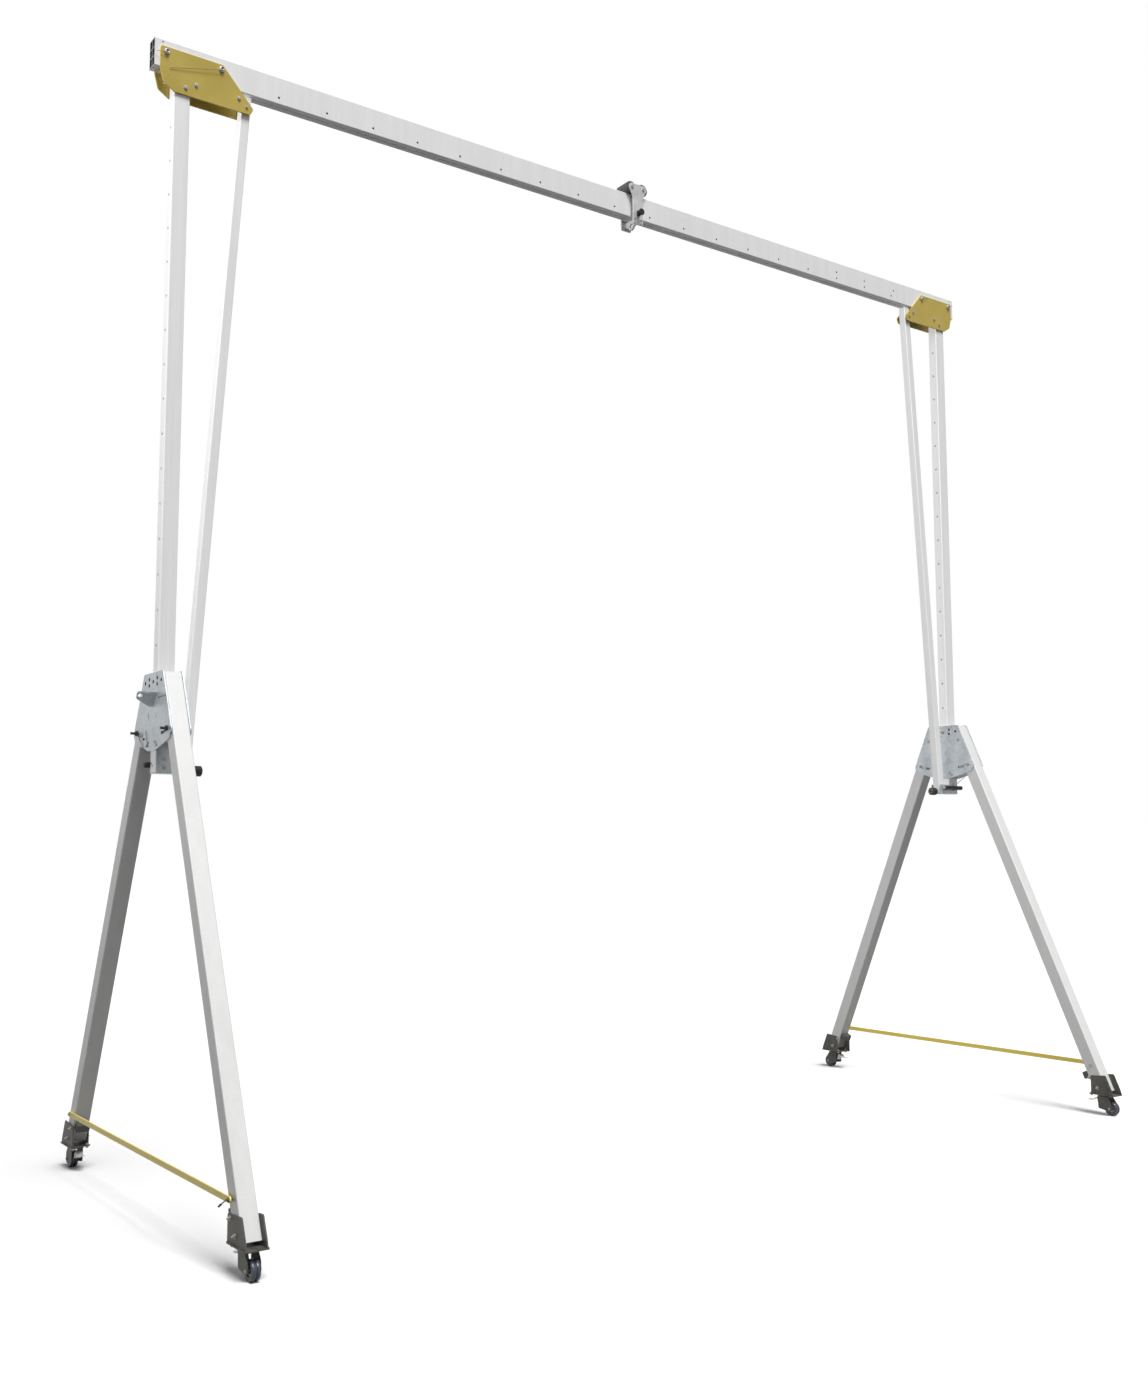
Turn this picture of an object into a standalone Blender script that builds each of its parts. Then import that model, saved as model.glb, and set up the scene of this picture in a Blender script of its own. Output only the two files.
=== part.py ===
"""Portable aluminium gantry crane: a box beam on two folding A-frames with castors and a trolley.

Frame: metres, +Z up, origin on the floor under the middle of the beam.
The beam runs along X. Front is -Y, left is -X.
"""
import math

import bmesh
import bpy
from mathutils import Matrix, Vector

# Clearances
GAP = 0.0003            # between pieces that touch
PIN_GAP = 0.0005        # between a pin or axle and its hole
HOLE_SIDES = 8

# Beam
BEAM_LENGTH = 5.450
BEAM_WIDTH = 0.066
BEAM_DEPTH = 0.132
BEAM_TOP = 5.170
BEAM_WALL = 0.004
BEAM_WEB = 0.003
BEAM_HOLE_RADIUS = 0.006
BEAM_HOLE_PITCH = 0.250
BEAM_HOLE_COUNT = 18
BEAM_HOLE_Z = 5.069
BEAM_UPPER_HOLES = (1.625, 1.875, 2.150)
BEAM_UPPER_HOLE_Z = 5.108
BEAM_END_HOLE = (2.688, 5.157)
BEAM_END_HOLE_RADIUS = 0.004

# Heads: a plate on each face of the beam, holding the upright and the brace
HEAD_PLATE = 0.008
HEAD_OUTER = 2.700
HEAD_TOP = 5.135
HEAD_BOTTOM = 4.935
HEAD_PIN_RADIUS = 0.008
HEAD_PIN_X = (2.671, 2.412)
HEAD_PIN_Z = 5.111
HEAD_PIN_NAMES = ("outer", "inner")

# Uprights and braces
SPAN = 5.185            # between the upright centres
UPRIGHT_X = 0.075
UPRIGHT_Y = 0.063
UPRIGHT_WALL = 0.004
UPRIGHT_BOTTOM = 1.862
UPRIGHT_HOLE_RADIUS = 0.007
UPRIGHT_HOLE_PITCH = 0.158
UPRIGHT_HOLE_COUNT = 17
BRACE_X = 0.045
BRACE_Y = 0.050
BRACE_WALL = 0.003
BRACE_FOOT_X = 0.101    # from the upright centre, towards the middle of the beam
BRACE_FOOT_Z = 1.885
BRACE_TILT = math.radians(3.85)
BRACE_TOP = 5.028
SHOE_PLATE = 0.005
SHOE_REACH = 0.128
SHOE_BOTTOM = 1.855
SHOE_TOP = 1.990
SHOE_STEP = 1.915
GRIP_BAR_Y = 0.0508     # the bar beside the shoe that the gantry is lifted by
GRIP_BAR_Z = 1.894
GRIP_BAR_RADIUS = 0.009
GRIP_BAR_X = (0.1115, -0.0595)
GRIP_POST_X = (0.098, -0.030)
KNOB_Z = 1.871
KNOB_RADIUS = 0.0235

# A-frames: two plates hold the tops of two splayed legs
PLATE = 0.008
LEG_X = 0.075
LEG_Y = 0.078
LEG_WALL = 0.004
LEG_SPLAY = math.atan(0.4515)
LEG_TOP = 2.289
LEG_BOTTOM = 0.137
LEG_HALF_SPREAD = 1.0492        # from the upright to the leg centre at LEG_BOTTOM
PIVOT_Z = 2.200
PLATE_HOLE_RADIUS = 0.0085
LOCK_HOLE_Z = 2.254             # first row of the height holes
LEG_LOCK_Z = 2.040
LEG_LOCK_RADIUS = 0.006
LEG_FOLD = 23.3         # degrees that a leg folds inwards

# Tie bar, low down on the outer faces of the legs
TIE_Z = 0.270
TIE_HEIGHT = 0.024
TIE_THICK = 0.006
TIE_STAND_OFF = 0.0095
TIE_PIN_RADIUS = 0.005

# Feet and castors
FOOT_PLATE = 0.006
FOOT_BASE_BOTTOM = 0.112
FOOT_TOP = 0.226
FOOT_LIP = (1.124, 0.143)       # where a cheek's outer edge turns down to the base
FOOT_SHOULDER_Y = 1.086         # top of a cheek's outer edge
FOOT_HALF_X = 0.050
FOOT_INNER_Y = 0.957
FOOT_INBOARD_Y = 0.992          # the inboard cheek is cut shorter
FOOT_OUTER_Y = 1.134
CASTOR_Y = 1.045
TRAIL = 0.050
WHEEL_RADIUS = 0.040
WHEEL_HALF = 0.018
AXLE_RADIUS = 0.005
FORK_GAP = 0.023
FORK_SIDE = 0.004
PEDAL_Y = -0.025
PEDAL_Z = 0.058

# Trolley
TROLLEY_X = 0.020
ROLLER_RADIUS = 0.035
ROLLER_HALF = 0.050
ROLLER_SPACING = 0.079
TROLLEY_PLATE = 0.008
TROLLEY_AXLE_RADIUS = 0.006
EAR_RADIUS = 0.0205
NECK_HALF = 0.034
TROLLEY_BOTTOM = 4.992
EYE_Z = 5.004
EYE_RADIUS = 0.012
EYE_LOBE = 0.0245
EYE_HALF_THICK = 0.006
TROLLEY_KNOB_Z = 5.055
TROLLEY_KNOB_NOSE = 0.005

# Worked out from the above
BEAM_BOTTOM = BEAM_TOP - BEAM_DEPTH
HALF_SPAN = SPAN / 2
PLATE_INNER = UPRIGHT_X / 2 + GAP
PLATE_OUTER = PLATE_INNER + PLATE
TAN_SPLAY = math.tan(LEG_SPLAY)
AXLE_Z = BEAM_TOP + GAP + ROLLER_RADIUS


def leg_y(z):
    """Distance of a leg's centre line from the upright, at a height."""
    return LEG_HALF_SPREAD - (z - LEG_BOTTOM) * TAN_SPLAY


def leg_edge_y(z, side):
    """The leg's outer (side 1) or inner (side -1) edge at a height."""
    return leg_y(z) + side * LEG_Y / 2 / math.cos(LEG_SPLAY)


# ---------------------------------------------------------------- tools

def clear_scene():
    for old in list(bpy.data.objects):
        bpy.data.objects.remove(old, do_unlink=True)


def material(name, colour, roughness, metallic):
    made = bpy.data.materials.new(name)
    made.use_nodes = True
    shader = made.node_tree.nodes["Principled BSDF"]
    shader.inputs["Base Color"].default_value = (*colour, 1.0)
    shader.inputs["Roughness"].default_value = roughness
    shader.inputs["Metallic"].default_value = metallic
    made.diffuse_color = (*colour, 1.0)
    return made


def circle(u, v, radius, sides):
    """A ring of points, its first edge square to the first axis."""
    step = 2 * math.pi / sides
    angles = [(k + 0.5) * step for k in range(sides)]
    return [(u + radius * math.cos(a), v + radius * math.sin(a)) for a in angles]


def arc(u, v, radius, start, end, steps):
    """Points round an arc, angles in degrees."""
    angles = [math.radians(start + (end - start) * k / steps) for k in range(steps + 1)]
    return [(u + radius * math.cos(a), v + radius * math.sin(a)) for a in angles]


def rounded(corners, steps=3):
    """An outline from corners given as (u, v, radius)."""
    points = []
    count = len(corners)
    for i, (u, v, radius) in enumerate(corners):
        corner = Vector((u, v))
        if radius == 0:
            points.append((u, v))
            continue
        before = (Vector(corners[i - 1][:2]) - corner).normalized()
        after = (Vector(corners[(i + 1) % count][:2]) - corner).normalized()
        half = before.angle(after) / 2
        centre = corner + (before + after).normalized() * radius / math.sin(half)
        first = corner + before * radius / math.tan(half) - centre
        turn = first.angle_signed(corner + after * radius / math.tan(half) - centre)
        for k in range(steps + 1):
            spoke = Matrix.Rotation(-turn * k / steps, 2) @ first
            points.append(tuple(centre + spoke))
    return points


def box_outline(half_u, low_v, high_v, radius, steps=2):
    corners = [(-half_u, low_v), (half_u, low_v), (half_u, high_v), (-half_u, high_v)]
    return rounded([(u, v, radius) for u, v in corners], steps)


def mirrored(corners):
    return [(-u, *rest) for u, *rest in corners]


def spot(axis, u, v, w):
    """A point from outline coordinates and a distance along the axis."""
    if axis == "X":
        return Vector((w, u, v))
    if axis == "Y":
        return Vector((u, w, v))
    return Vector((u, v, w))


def add_prism(bm, axis, outline, holes, low, high):
    """A closed solid: an outline with holes, pushed from low to high along the axis."""
    edges = []
    for loop in (outline, *holes):
        verts = [bm.verts.new(spot(axis, u, v, low)) for u, v in loop]
        edges += [bm.edges.new((verts[i - 1], verts[i])) for i in range(len(verts))]
    filled = bmesh.ops.triangle_fill(bm, use_beauty=True, edges=edges)
    faces = [item for item in filled["geom"] if isinstance(item, bmesh.types.BMFace)]
    pushed = bmesh.ops.extrude_face_region(bm, geom=faces)
    tops = [item for item in pushed["geom"] if isinstance(item, bmesh.types.BMVert)]
    bmesh.ops.translate(bm, verts=tops, vec=spot(axis, 0, 0, high - low))
    return tops


def add_turned(bm, axis, u, v, profile, sides, ring=False):
    """A turned solid about a line along the axis; the profile is (radius, distance) points."""
    step = 2 * math.pi / sides
    loops = []
    for radius, w in profile:
        angles = [k * step - math.pi / 2 for k in range(sides)]
        points = [spot(axis, u + radius * math.cos(a), v + radius * math.sin(a), w) for a in angles]
        loops.append([bm.verts.new(point) for point in points])
    pairs = list(zip(loops, loops[1:]))
    if ring:
        pairs.append((loops[-1], loops[0]))
    for one, two in pairs:
        for k in range(sides):
            bm.faces.new((one[k - 1], one[k], two[k], two[k - 1]))
    if not ring:
        bm.faces.new(loops[0])
        bm.faces.new(loops[-1])


def finish(bm, name, look, origin=(0, 0, 0), parent=None, smooth=False):
    """Turn a bmesh drawn in its parent's frame into an object with its origin at a point."""
    bmesh.ops.recalc_face_normals(bm, faces=bm.faces[:])
    bmesh.ops.translate(bm, verts=bm.verts[:], vec=-Vector(origin))
    mesh = bpy.data.meshes.new(name)
    bm.to_mesh(mesh)
    bm.free()
    if smooth:
        mesh.shade_smooth()
        mesh.set_sharp_from_angle(angle=math.radians(35))
    mesh.materials.append(look)
    made = bpy.data.objects.new(name, mesh)
    bpy.context.scene.collection.objects.link(made)
    made.location = origin
    made.parent = parent
    return made


def prism(name, look, axis, outline, holes, low, high, **placing):
    bm = bmesh.new()
    add_prism(bm, axis, outline, holes, low, high)
    return finish(bm, name, look, **placing)


def turned(name, look, axis, centre, profile, sides, ring=False, **placing):
    bm = bmesh.new()
    add_turned(bm, axis, *centre, profile, sides, ring)
    return finish(bm, name, look, smooth=True, **placing)


def combine(target, tool, operation):
    """Cut or join a tool with a Boolean that stays live on the target."""
    tool.hide_render = True
    tool.display_type = "WIRE"
    boolean = target.modifiers.new(tool.name, "BOOLEAN")
    boolean.operation = operation
    boolean.solver = "EXACT"
    boolean.object = tool


def drill(target, axis, centres, radius, low, high, parent=None):
    """Straight holes through the target, all cut by one tool."""
    bm = bmesh.new()
    for u, v in centres:
        add_prism(bm, axis, circle(u, v, radius, HOLE_SIDES), [], low, high)
    tool = finish(bm, f"{target.name}_drill_{axis}", target.data.materials[0], parent=parent)
    combine(target, tool, "DIFFERENCE")


def bake(target):
    """Apply the live modifiers and remove the tools that they used."""
    tools = [modifier.object for modifier in target.modifiers]
    graph = bpy.context.evaluated_depsgraph_get()
    mesh = bpy.data.meshes.new_from_object(target.evaluated_get(graph))
    target.modifiers.clear()
    target.data = mesh
    for tool in tools:
        bpy.data.objects.remove(tool, do_unlink=True)
    return target


def empty(name, location, turn=0.0):
    made = bpy.data.objects.new(name, None)
    bpy.context.scene.collection.objects.link(made)
    made.location = location
    made.rotation_euler = (0, 0, turn)
    return made


# ---------------------------------------------------------------- fixed top structure

def pierce(bm, walls, holes):
    """Holes along Y through flat walls, a wall being the Y of its two faces.

    A hole is (x, z, radius, sides). Each pierced face is filled again round its holes.
    """
    for wall in walls:
        rings = {}
        for y in wall:
            for face in [f for f in bm.faces if all(abs(v.co.y - y) < GAP / 2 for v in f.verts)]:
                heights = [vert.co.z for vert in face.verts]
                inside = [hole for hole in holes if min(heights) < hole[1] < max(heights)]
                edges = list(face.edges)
                for hole in inside:
                    ring = [bm.verts.new((u, y, v)) for u, v in circle(*hole)]
                    rings.setdefault(hole, []).append(ring)
                    edges += [bm.edges.new((ring[i - 1], ring[i])) for i in range(len(ring))]
                if inside:
                    bmesh.ops.delete(bm, geom=[face], context="FACES_ONLY")
                    bmesh.ops.triangle_fill(bm, use_beauty=True, edges=edges)
        for near, far in rings.values():
            for k in range(len(near)):
                bm.faces.new((near[k - 1], near[k], far[k], far[k - 1]))


def build_beam(look):
    """Box extrusion with two columns and three rows of open chambers and a groove underneath."""
    half = BEAM_WIDTH / 2
    groove = [(-0.002, BEAM_BOTTOM), (-0.002, BEAM_BOTTOM + 0.0015),
              (0.002, BEAM_BOTTOM + 0.0015), (0.002, BEAM_BOTTOM)]
    body = box_outline(half, BEAM_BOTTOM, BEAM_TOP, 0.003)
    corner_points = 3
    outline = body[:corner_points] + groove + body[corner_points:]
    chamber_height = (BEAM_DEPTH - 2 * BEAM_WALL - 2 * BEAM_WEB) / 3
    inner, outer = BEAM_WEB / 2, half - BEAM_WALL
    chambers = []
    for row in range(3):
        low = BEAM_BOTTOM + BEAM_WALL + row * (chamber_height + BEAM_WEB)
        high = low + chamber_height
        for side in (-1, 1):
            u, w = side * inner, side * outer
            chambers.append([(u, low), (w, low), (w, high), (u, high)])
    end = BEAM_LENGTH / 2
    bm = bmesh.new()
    add_prism(bm, "X", outline, chambers, -end, end)

    first = -BEAM_HOLE_PITCH * (BEAM_HOLE_COUNT - 1) / 2
    holes = [(first + k * BEAM_HOLE_PITCH, BEAM_HOLE_Z, BEAM_HOLE_RADIUS, HOLE_SIDES)
             for k in range(BEAM_HOLE_COUNT)]
    holes += [(x, BEAM_UPPER_HOLE_Z, BEAM_HOLE_RADIUS, HOLE_SIDES) for x in BEAM_UPPER_HOLES]
    for side in (-1, 1):
        holes += [(side * x, HEAD_PIN_Z, HEAD_PIN_RADIUS + PIN_GAP, 12) for x in HEAD_PIN_X]
        x, z = BEAM_END_HOLE
        holes.append((side * x, z, BEAM_END_HOLE_RADIUS, HOLE_SIDES))
    pierce(bm, [(-half, -outer), (-inner, inner), (outer, half)], holes)
    finish(bm, "beam", look)


def build_head(side, word, looks):
    """Two plates with a raked inner edge, and the two quick pins that hold the beam in them."""
    corners = [
        (-HEAD_OUTER, HEAD_TOP, 0.010), (-HEAD_OUTER, 5.035, 0.015), (-2.683, 4.968, 0.020),
        (-2.632, HEAD_BOTTOM, 0.015), (-2.268, HEAD_BOTTOM, 0.012), (-2.254, 4.965, 0.012),
        (-2.406, HEAD_TOP, 0.015)]
    outline = rounded(corners if side < 0 else mirrored(corners)[::-1])
    pins = [(side * x, HEAD_PIN_Z) for x in HEAD_PIN_X]
    holes = [circle(x, z, HEAD_PIN_RADIUS + PIN_GAP, 12) for x, z in pins]
    holes.append(circle(side * 2.287, 4.967, 0.006, HOLE_SIDES))
    holes.append(circle(side * 2.655, 5.003, 0.004, HOLE_SIDES))
    near = BEAM_WIDTH / 2 + GAP
    far = near + HEAD_PLATE
    prism(f"head_plate_{word}_front", looks["yellow"], "Y", outline, holes, -far, -near)
    prism(f"head_plate_{word}_rear", looks["yellow"], "Y", outline, holes, near, far)

    r = HEAD_PIN_RADIUS
    profile = [(r, far + 0.006), (r, -far - GAP), (0.014, -far - GAP), (0.014, -far - 0.007),
               (0.009, -far - 0.008), (0.009, -far - 0.014)]
    for (x, z), place in zip(pins, HEAD_PIN_NAMES):
        turned(f"head_pin_{word}_{place}", looks["zinc"], "Y", (x, z), profile, 12,
               origin=(x, 0, z))


def build_upright(side, word, looks):
    """Rectangular tube with a ladder of height holes through its two X faces."""
    x = side * HALF_SPAN
    outer = box_outline(UPRIGHT_X / 2, -UPRIGHT_Y / 2, UPRIGHT_Y / 2, 0.004)
    wall = UPRIGHT_WALL
    inner = box_outline(UPRIGHT_X / 2 - wall, wall - UPRIGHT_Y / 2, UPRIGHT_Y / 2 - wall, 0, 1)
    axle = empty(f"upright_axis_{word}", (x, 0, 0))
    top = BEAM_BOTTOM - 0.0005
    upright = prism(f"upright_{word}", looks["aluminium"], "Z", outer, [inner],
                    UPRIGHT_BOTTOM, top, parent=axle)
    rows = [(0, LOCK_HOLE_Z + k * UPRIGHT_HOLE_PITCH) for k in range(UPRIGHT_HOLE_COUNT)]
    drill(upright, "X", rows, UPRIGHT_HOLE_RADIUS, -UPRIGHT_X, UPRIGHT_X, parent=axle)


def build_brace(side, word, looks):
    """Tube leaning from the inner tip of the head to a steel shoe on the upright's foot."""
    x = side * (HALF_SPAN - BRACE_FOOT_X)
    outer = box_outline(BRACE_X / 2, -BRACE_Y / 2, BRACE_Y / 2, 0.004)
    wall = BRACE_WALL
    inner = box_outline(BRACE_X / 2 - wall, wall - BRACE_Y / 2, BRACE_Y / 2 - wall, 0, 1)
    length = (BRACE_TOP - BRACE_FOOT_Z) / math.cos(BRACE_TILT)
    brace = prism(f"brace_{word}", looks["aluminium"], "Z", outer, [inner], -0.018, length)
    brace.location = (x, 0, BRACE_FOOT_Z)
    brace.rotation_euler = (0, -side * BRACE_TILT, 0)


def build_shoe(side, word, looks):
    """Steel channel under the upright, reaching inwards to carry the foot of the brace."""
    outer = UPRIGHT_Y / 2 + GAP + SHOE_PLATE
    inner = outer - SHOE_PLATE
    floor = UPRIGHT_BOTTOM - 0.0005
    profile = [(-outer, SHOE_BOTTOM), (outer, SHOE_BOTTOM), (outer, SHOE_TOP), (inner, SHOE_TOP),
               (inner, floor), (-inner, floor), (-inner, SHOE_TOP), (-outer, SHOE_TOP)]
    upright_edge = UPRIGHT_X / 2 - 0.0015
    ends = [side * (HALF_SPAN + upright_edge), side * (HALF_SPAN - SHOE_REACH)]
    shoe = prism(f"brace_shoe_{word}", looks["steel"], "X", profile, [], min(ends), max(ends))
    edge = side * (HALF_SPAN - upright_edge)
    beyond = side * (HALF_SPAN - SHOE_REACH - 0.02)
    notch = [(edge, SHOE_STEP), (beyond, SHOE_STEP), (beyond, SHOE_TOP + 0.01), (edge, SHOE_TOP + 0.01)]
    cutter = prism(f"brace_shoe_{word}_notch", looks["steel"], "Y", notch, [], -0.06, 0.06)
    combine(shoe, cutter, "DIFFERENCE")
    # The grip bar is on the front of the right shoe and on the back of the left one.
    y = -side * GRIP_BAR_Y
    bar_ends = sorted(side * (HALF_SPAN - x) for x in GRIP_BAR_X)
    bar = turned(f"brace_shoe_{word}_bar", looks["steel"], "X", (y, GRIP_BAR_Z),
                 [(GRIP_BAR_RADIUS, x) for x in bar_ends], 10)
    combine(shoe, bar, "UNION")
    wall = -side * (outer - 0.001)
    for x in GRIP_POST_X:
        centre = side * (HALF_SPAN - x)
        post = prism(f"brace_shoe_{word}_post", looks["steel"], "Y",
                     circle(centre, GRIP_BAR_Z, 0.005, 8), [], min(wall, y), max(wall, y))
        combine(shoe, post, "UNION")

    start = side * (HALF_SPAN - BRACE_FOOT_X - BRACE_X / 2 - 0.002)
    profile = [(0.006, 0.0), (0.006, 0.0065), (KNOB_RADIUS - 0.002, 0.0065), (KNOB_RADIUS, 0.0085),
               (KNOB_RADIUS, 0.053), (KNOB_RADIUS - 0.003, 0.056)]
    inwards = [(radius, start - side * distance) for radius, distance in profile]
    turned(f"brace_knob_{word}", looks["black"], "X", (0, KNOB_Z), inwards, 14,
           origin=(start, 0, KNOB_Z))


# ---------------------------------------------------------------- A-frames

def frame_outline():
    """Plate over the tops of both legs: raked sides, then a broad V with a blunt point."""
    top_z, wide_z = 2.295, 2.032
    half = [
        (leg_edge_y(top_z, 1) + 0.001, top_z, 0.010),
        (leg_edge_y(wide_z, 1) + 0.003, wide_z, 0.020),
        (0.214, 1.997, 0.015),
        (0.045, 1.953, 0.015)]
    return rounded(half + mirrored(half)[::-1])


def frame_holes():
    """Seven height holes: three on a line and two pairs between them."""
    spots = [(y, LOCK_HOLE_Z) for y in (-0.1, 0, 0.1)]
    spots += [(y, LOCK_HOLE_Z + dz) for y in (-0.05, 0.05) for dz in (-0.0135, 0.0135)]
    return [circle(y, z, PLATE_HOLE_RADIUS, HOLE_SIDES) for y, z in spots]


def lock_spots():
    y = leg_y(LEG_LOCK_Z)
    return [(-y, LEG_LOCK_Z), (y, LEG_LOCK_Z)]


def fold_slot():
    """Curved slot round the fold pivot, along the path of the leg's clamp stud."""
    pivot = Vector((leg_y(PIVOT_Z), PIVOT_Z))
    lock = Vector((leg_y(LEG_LOCK_Z), LEG_LOCK_Z))
    reach = (lock - pivot).length
    half = LEG_LOCK_RADIUS + PIN_GAP
    start = math.degrees(math.atan2(lock.y - pivot.y, lock.x - pivot.x))
    end = start - LEG_FOLD
    last = pivot + reach * Vector((math.cos(math.radians(end)), math.sin(math.radians(end))))
    return (arc(*pivot, reach + half, start, end, 4)
            + arc(*last, half, end, end - 180, 4)[1:-1]
            + arc(*pivot, reach - half, end, start, 4)
            + arc(*lock, half, start + 180, start, 4)[1:-1])


def slit(low_y, high_y, low_z, high_z):
    return [(low_y, low_z), (high_y, low_z), (high_y, high_z), (low_y, high_z)]


def build_frame_plates(base, word, looks):
    """Outer plate with a bent-out lifting tab, and a plain inner plate."""
    outline = frame_outline()
    slot = fold_slot()
    holes = frame_holes() + [slot, mirrored(slot)]
    # The relief cut beside the tab, and two short slits under it.
    slits = [slit(-0.170, -0.066, 2.179, 2.182), slit(-0.048, -0.044, 2.092, 2.118),
             slit(0.048, 0.052, 2.092, 2.118)]
    outer = prism(f"frame_plate_{word}_outer", looks["galvanised"], "X", outline,
                  holes + slits, -PLATE_OUTER, -PLATE_INNER, parent=base)
    prism(f"frame_plate_{word}_inner", looks["galvanised"], "X", outline, holes,
          PLATE_INNER, PLATE_OUTER, parent=base)

    reach = 0.0862
    corners = [(-0.005, 0, 0), (reach, 0, 0.008), (reach - 0.003, 0.038, 0.016),
               (0.018, 0.078, 0.006), (-0.005, 0.078, 0)]
    tab = prism(f"frame_plate_{word}_tab", looks["galvanised"], "Z", rounded(corners),
                [circle(0.0695, 0.020, 0.0105, 10)], -0.003, 0.003)
    # The tab's own X runs outboard and its Y runs down a fold line at 45 degrees.
    outboard = Vector((-1, 0, 0))
    fold = Vector((0, 1, -1)).normalized()
    facing = outboard.cross(fold)
    turn = Matrix((outboard, fold, facing)).transposed().to_4x4()
    tab.data.transform(turn)
    tab.location = (-PLATE_OUTER, -0.055, 2.202)
    tab.parent = base
    combine(outer, tab, "UNION")


def build_leg(base, way, name, looks):
    """Square tube cut level at both ends, hung from its fold pivot between the plates."""
    splay = way * LEG_SPLAY
    outer = box_outline(LEG_X / 2, -LEG_Y / 2, LEG_Y / 2, 0.005)
    wall = LEG_WALL
    inner = box_outline(LEG_X / 2 - wall, wall - LEG_Y / 2, LEG_Y / 2 - wall, 0, 1)
    bm = bmesh.new()
    tops = add_prism(bm, "Z", outer, [inner], 0.0, 1.0)
    for vert in bm.verts:
        level = LEG_TOP if vert in tops else LEG_BOTTOM
        vert.co.z = (level - PIVOT_Z) / math.cos(splay) - vert.co.y * math.tan(splay)
    leg = finish(bm, name, looks["aluminium"], parent=base)
    leg.location = (0, way * leg_y(PIVOT_Z), PIVOT_Z)
    leg.rotation_euler = (splay, 0, 0)


def build_locks(base, word, names, looks):
    """Clamp knobs on the legs' studs, and the height pin on the inner plate."""
    face = -PLATE_OUTER - GAP
    nose = -PLATE_INNER - 0.0005
    profile = [(LEG_LOCK_RADIUS, nose), (LEG_LOCK_RADIUS, face), (0.0125, face),
               (0.0125, face - 0.004), (0.0115, face - 0.005), (0.0115, face - 0.021),
               (0.0095, face - 0.023)]
    for (y, z), place in zip(lock_spots(), names):
        turned(f"leg_lock_{word}_{place}", looks["black"], "X", (y, z), profile, 10,
               parent=base, origin=(-PLATE_OUTER, y, z))
    radius = UPRIGHT_HOLE_RADIUS - 0.001
    profile = [(radius, -nose), (radius, -face), (0.012, -face), (0.012, 0.008 - face),
               (0.006, 0.009 - face), (0.006, 0.018 - face)]
    turned(f"height_pin_{word}", looks["zinc"], "X", (0, LOCK_HOLE_Z), profile, 10,
           parent=base, origin=(PLATE_OUTER, 0, LOCK_HOLE_Z))


def build_tie(base, word, looks):
    """Flat bar across the legs: bolted to one, held to the other by a quick pin."""
    y = leg_y(TIE_Z)
    near = LEG_X / 2 + TIE_STAND_OFF
    far = near + TIE_THICK
    half = TIE_HEIGHT / 2
    ends = arc(y, TIE_Z, half, -90, 90, 6) + arc(-y, TIE_Z, half, 90, 270, 6)
    hole = circle(-y, TIE_Z, TIE_PIN_RADIUS + PIN_GAP, HOLE_SIDES)
    bar = prism(f"tie_bar_{word}", looks["yellow"], "X", ends, [hole], -far, -near,
                parent=base, origin=(0, y, TIE_Z))
    spacer = prism(f"tie_bar_{word}_spacer", looks["yellow"], "X", circle(y, TIE_Z, 0.009, 8), [],
                   -near - 0.003, -LEG_X / 2 - GAP, parent=base, origin=(0, y, TIE_Z))
    combine(bar, spacer, "UNION")
    r = TIE_PIN_RADIUS
    nose = -LEG_X / 2 - GAP
    profile = [(r, nose), (r, -far - GAP), (0.009, -far - GAP), (0.009, -far - 0.007)]
    turned(f"tie_pin_{word}", looks["zinc"], "X", (-y, TIE_Z), profile, 8,
           parent=base, origin=(-far, -y, TIE_Z))


# ---------------------------------------------------------------- feet and castors

def build_bracket(base, way, name, look):
    """Steel saddle under a leg: a base plate and two cheeks, the outboard one longer."""
    cheek_in = LEG_X / 2 + GAP
    cheek_out = cheek_in + FOOT_PLATE
    top = FOOT_BASE_BOTTOM + FOOT_PLATE
    corners = [(-FOOT_HALF_X, FOOT_INNER_Y, 0.008), (FOOT_HALF_X, FOOT_INBOARD_Y - 0.010, 0.008),
               (FOOT_HALF_X, FOOT_OUTER_Y, 0.008), (-FOOT_HALF_X, FOOT_OUTER_Y, 0.008)]
    slab = [(x, way * y) for x, y in rounded(corners, 2)]
    bracket = prism(name, look, "Z", slab, [], FOOT_BASE_BOTTOM, top, parent=base)
    sunk = top - 0.001
    for side, inner in ((-1, FOOT_INNER_Y + 0.002), (1, FOOT_INBOARD_Y)):
        corners = [(inner, sunk, 0), (FOOT_OUTER_Y - 0.002, sunk, 0), (*FOOT_LIP, 0.010),
                   (FOOT_SHOULDER_Y, FOOT_TOP, 0.008), (inner, FOOT_TOP - 0.010, 0.004)]
        outline = [(way * y, z) for y, z in rounded(corners, 2)]
        ends = sorted((side * cheek_in, side * cheek_out))
        combine(bracket, prism(f"{name}_cheek_{side}", look, "X", outline, [], *ends, parent=base),
                "UNION")


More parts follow.
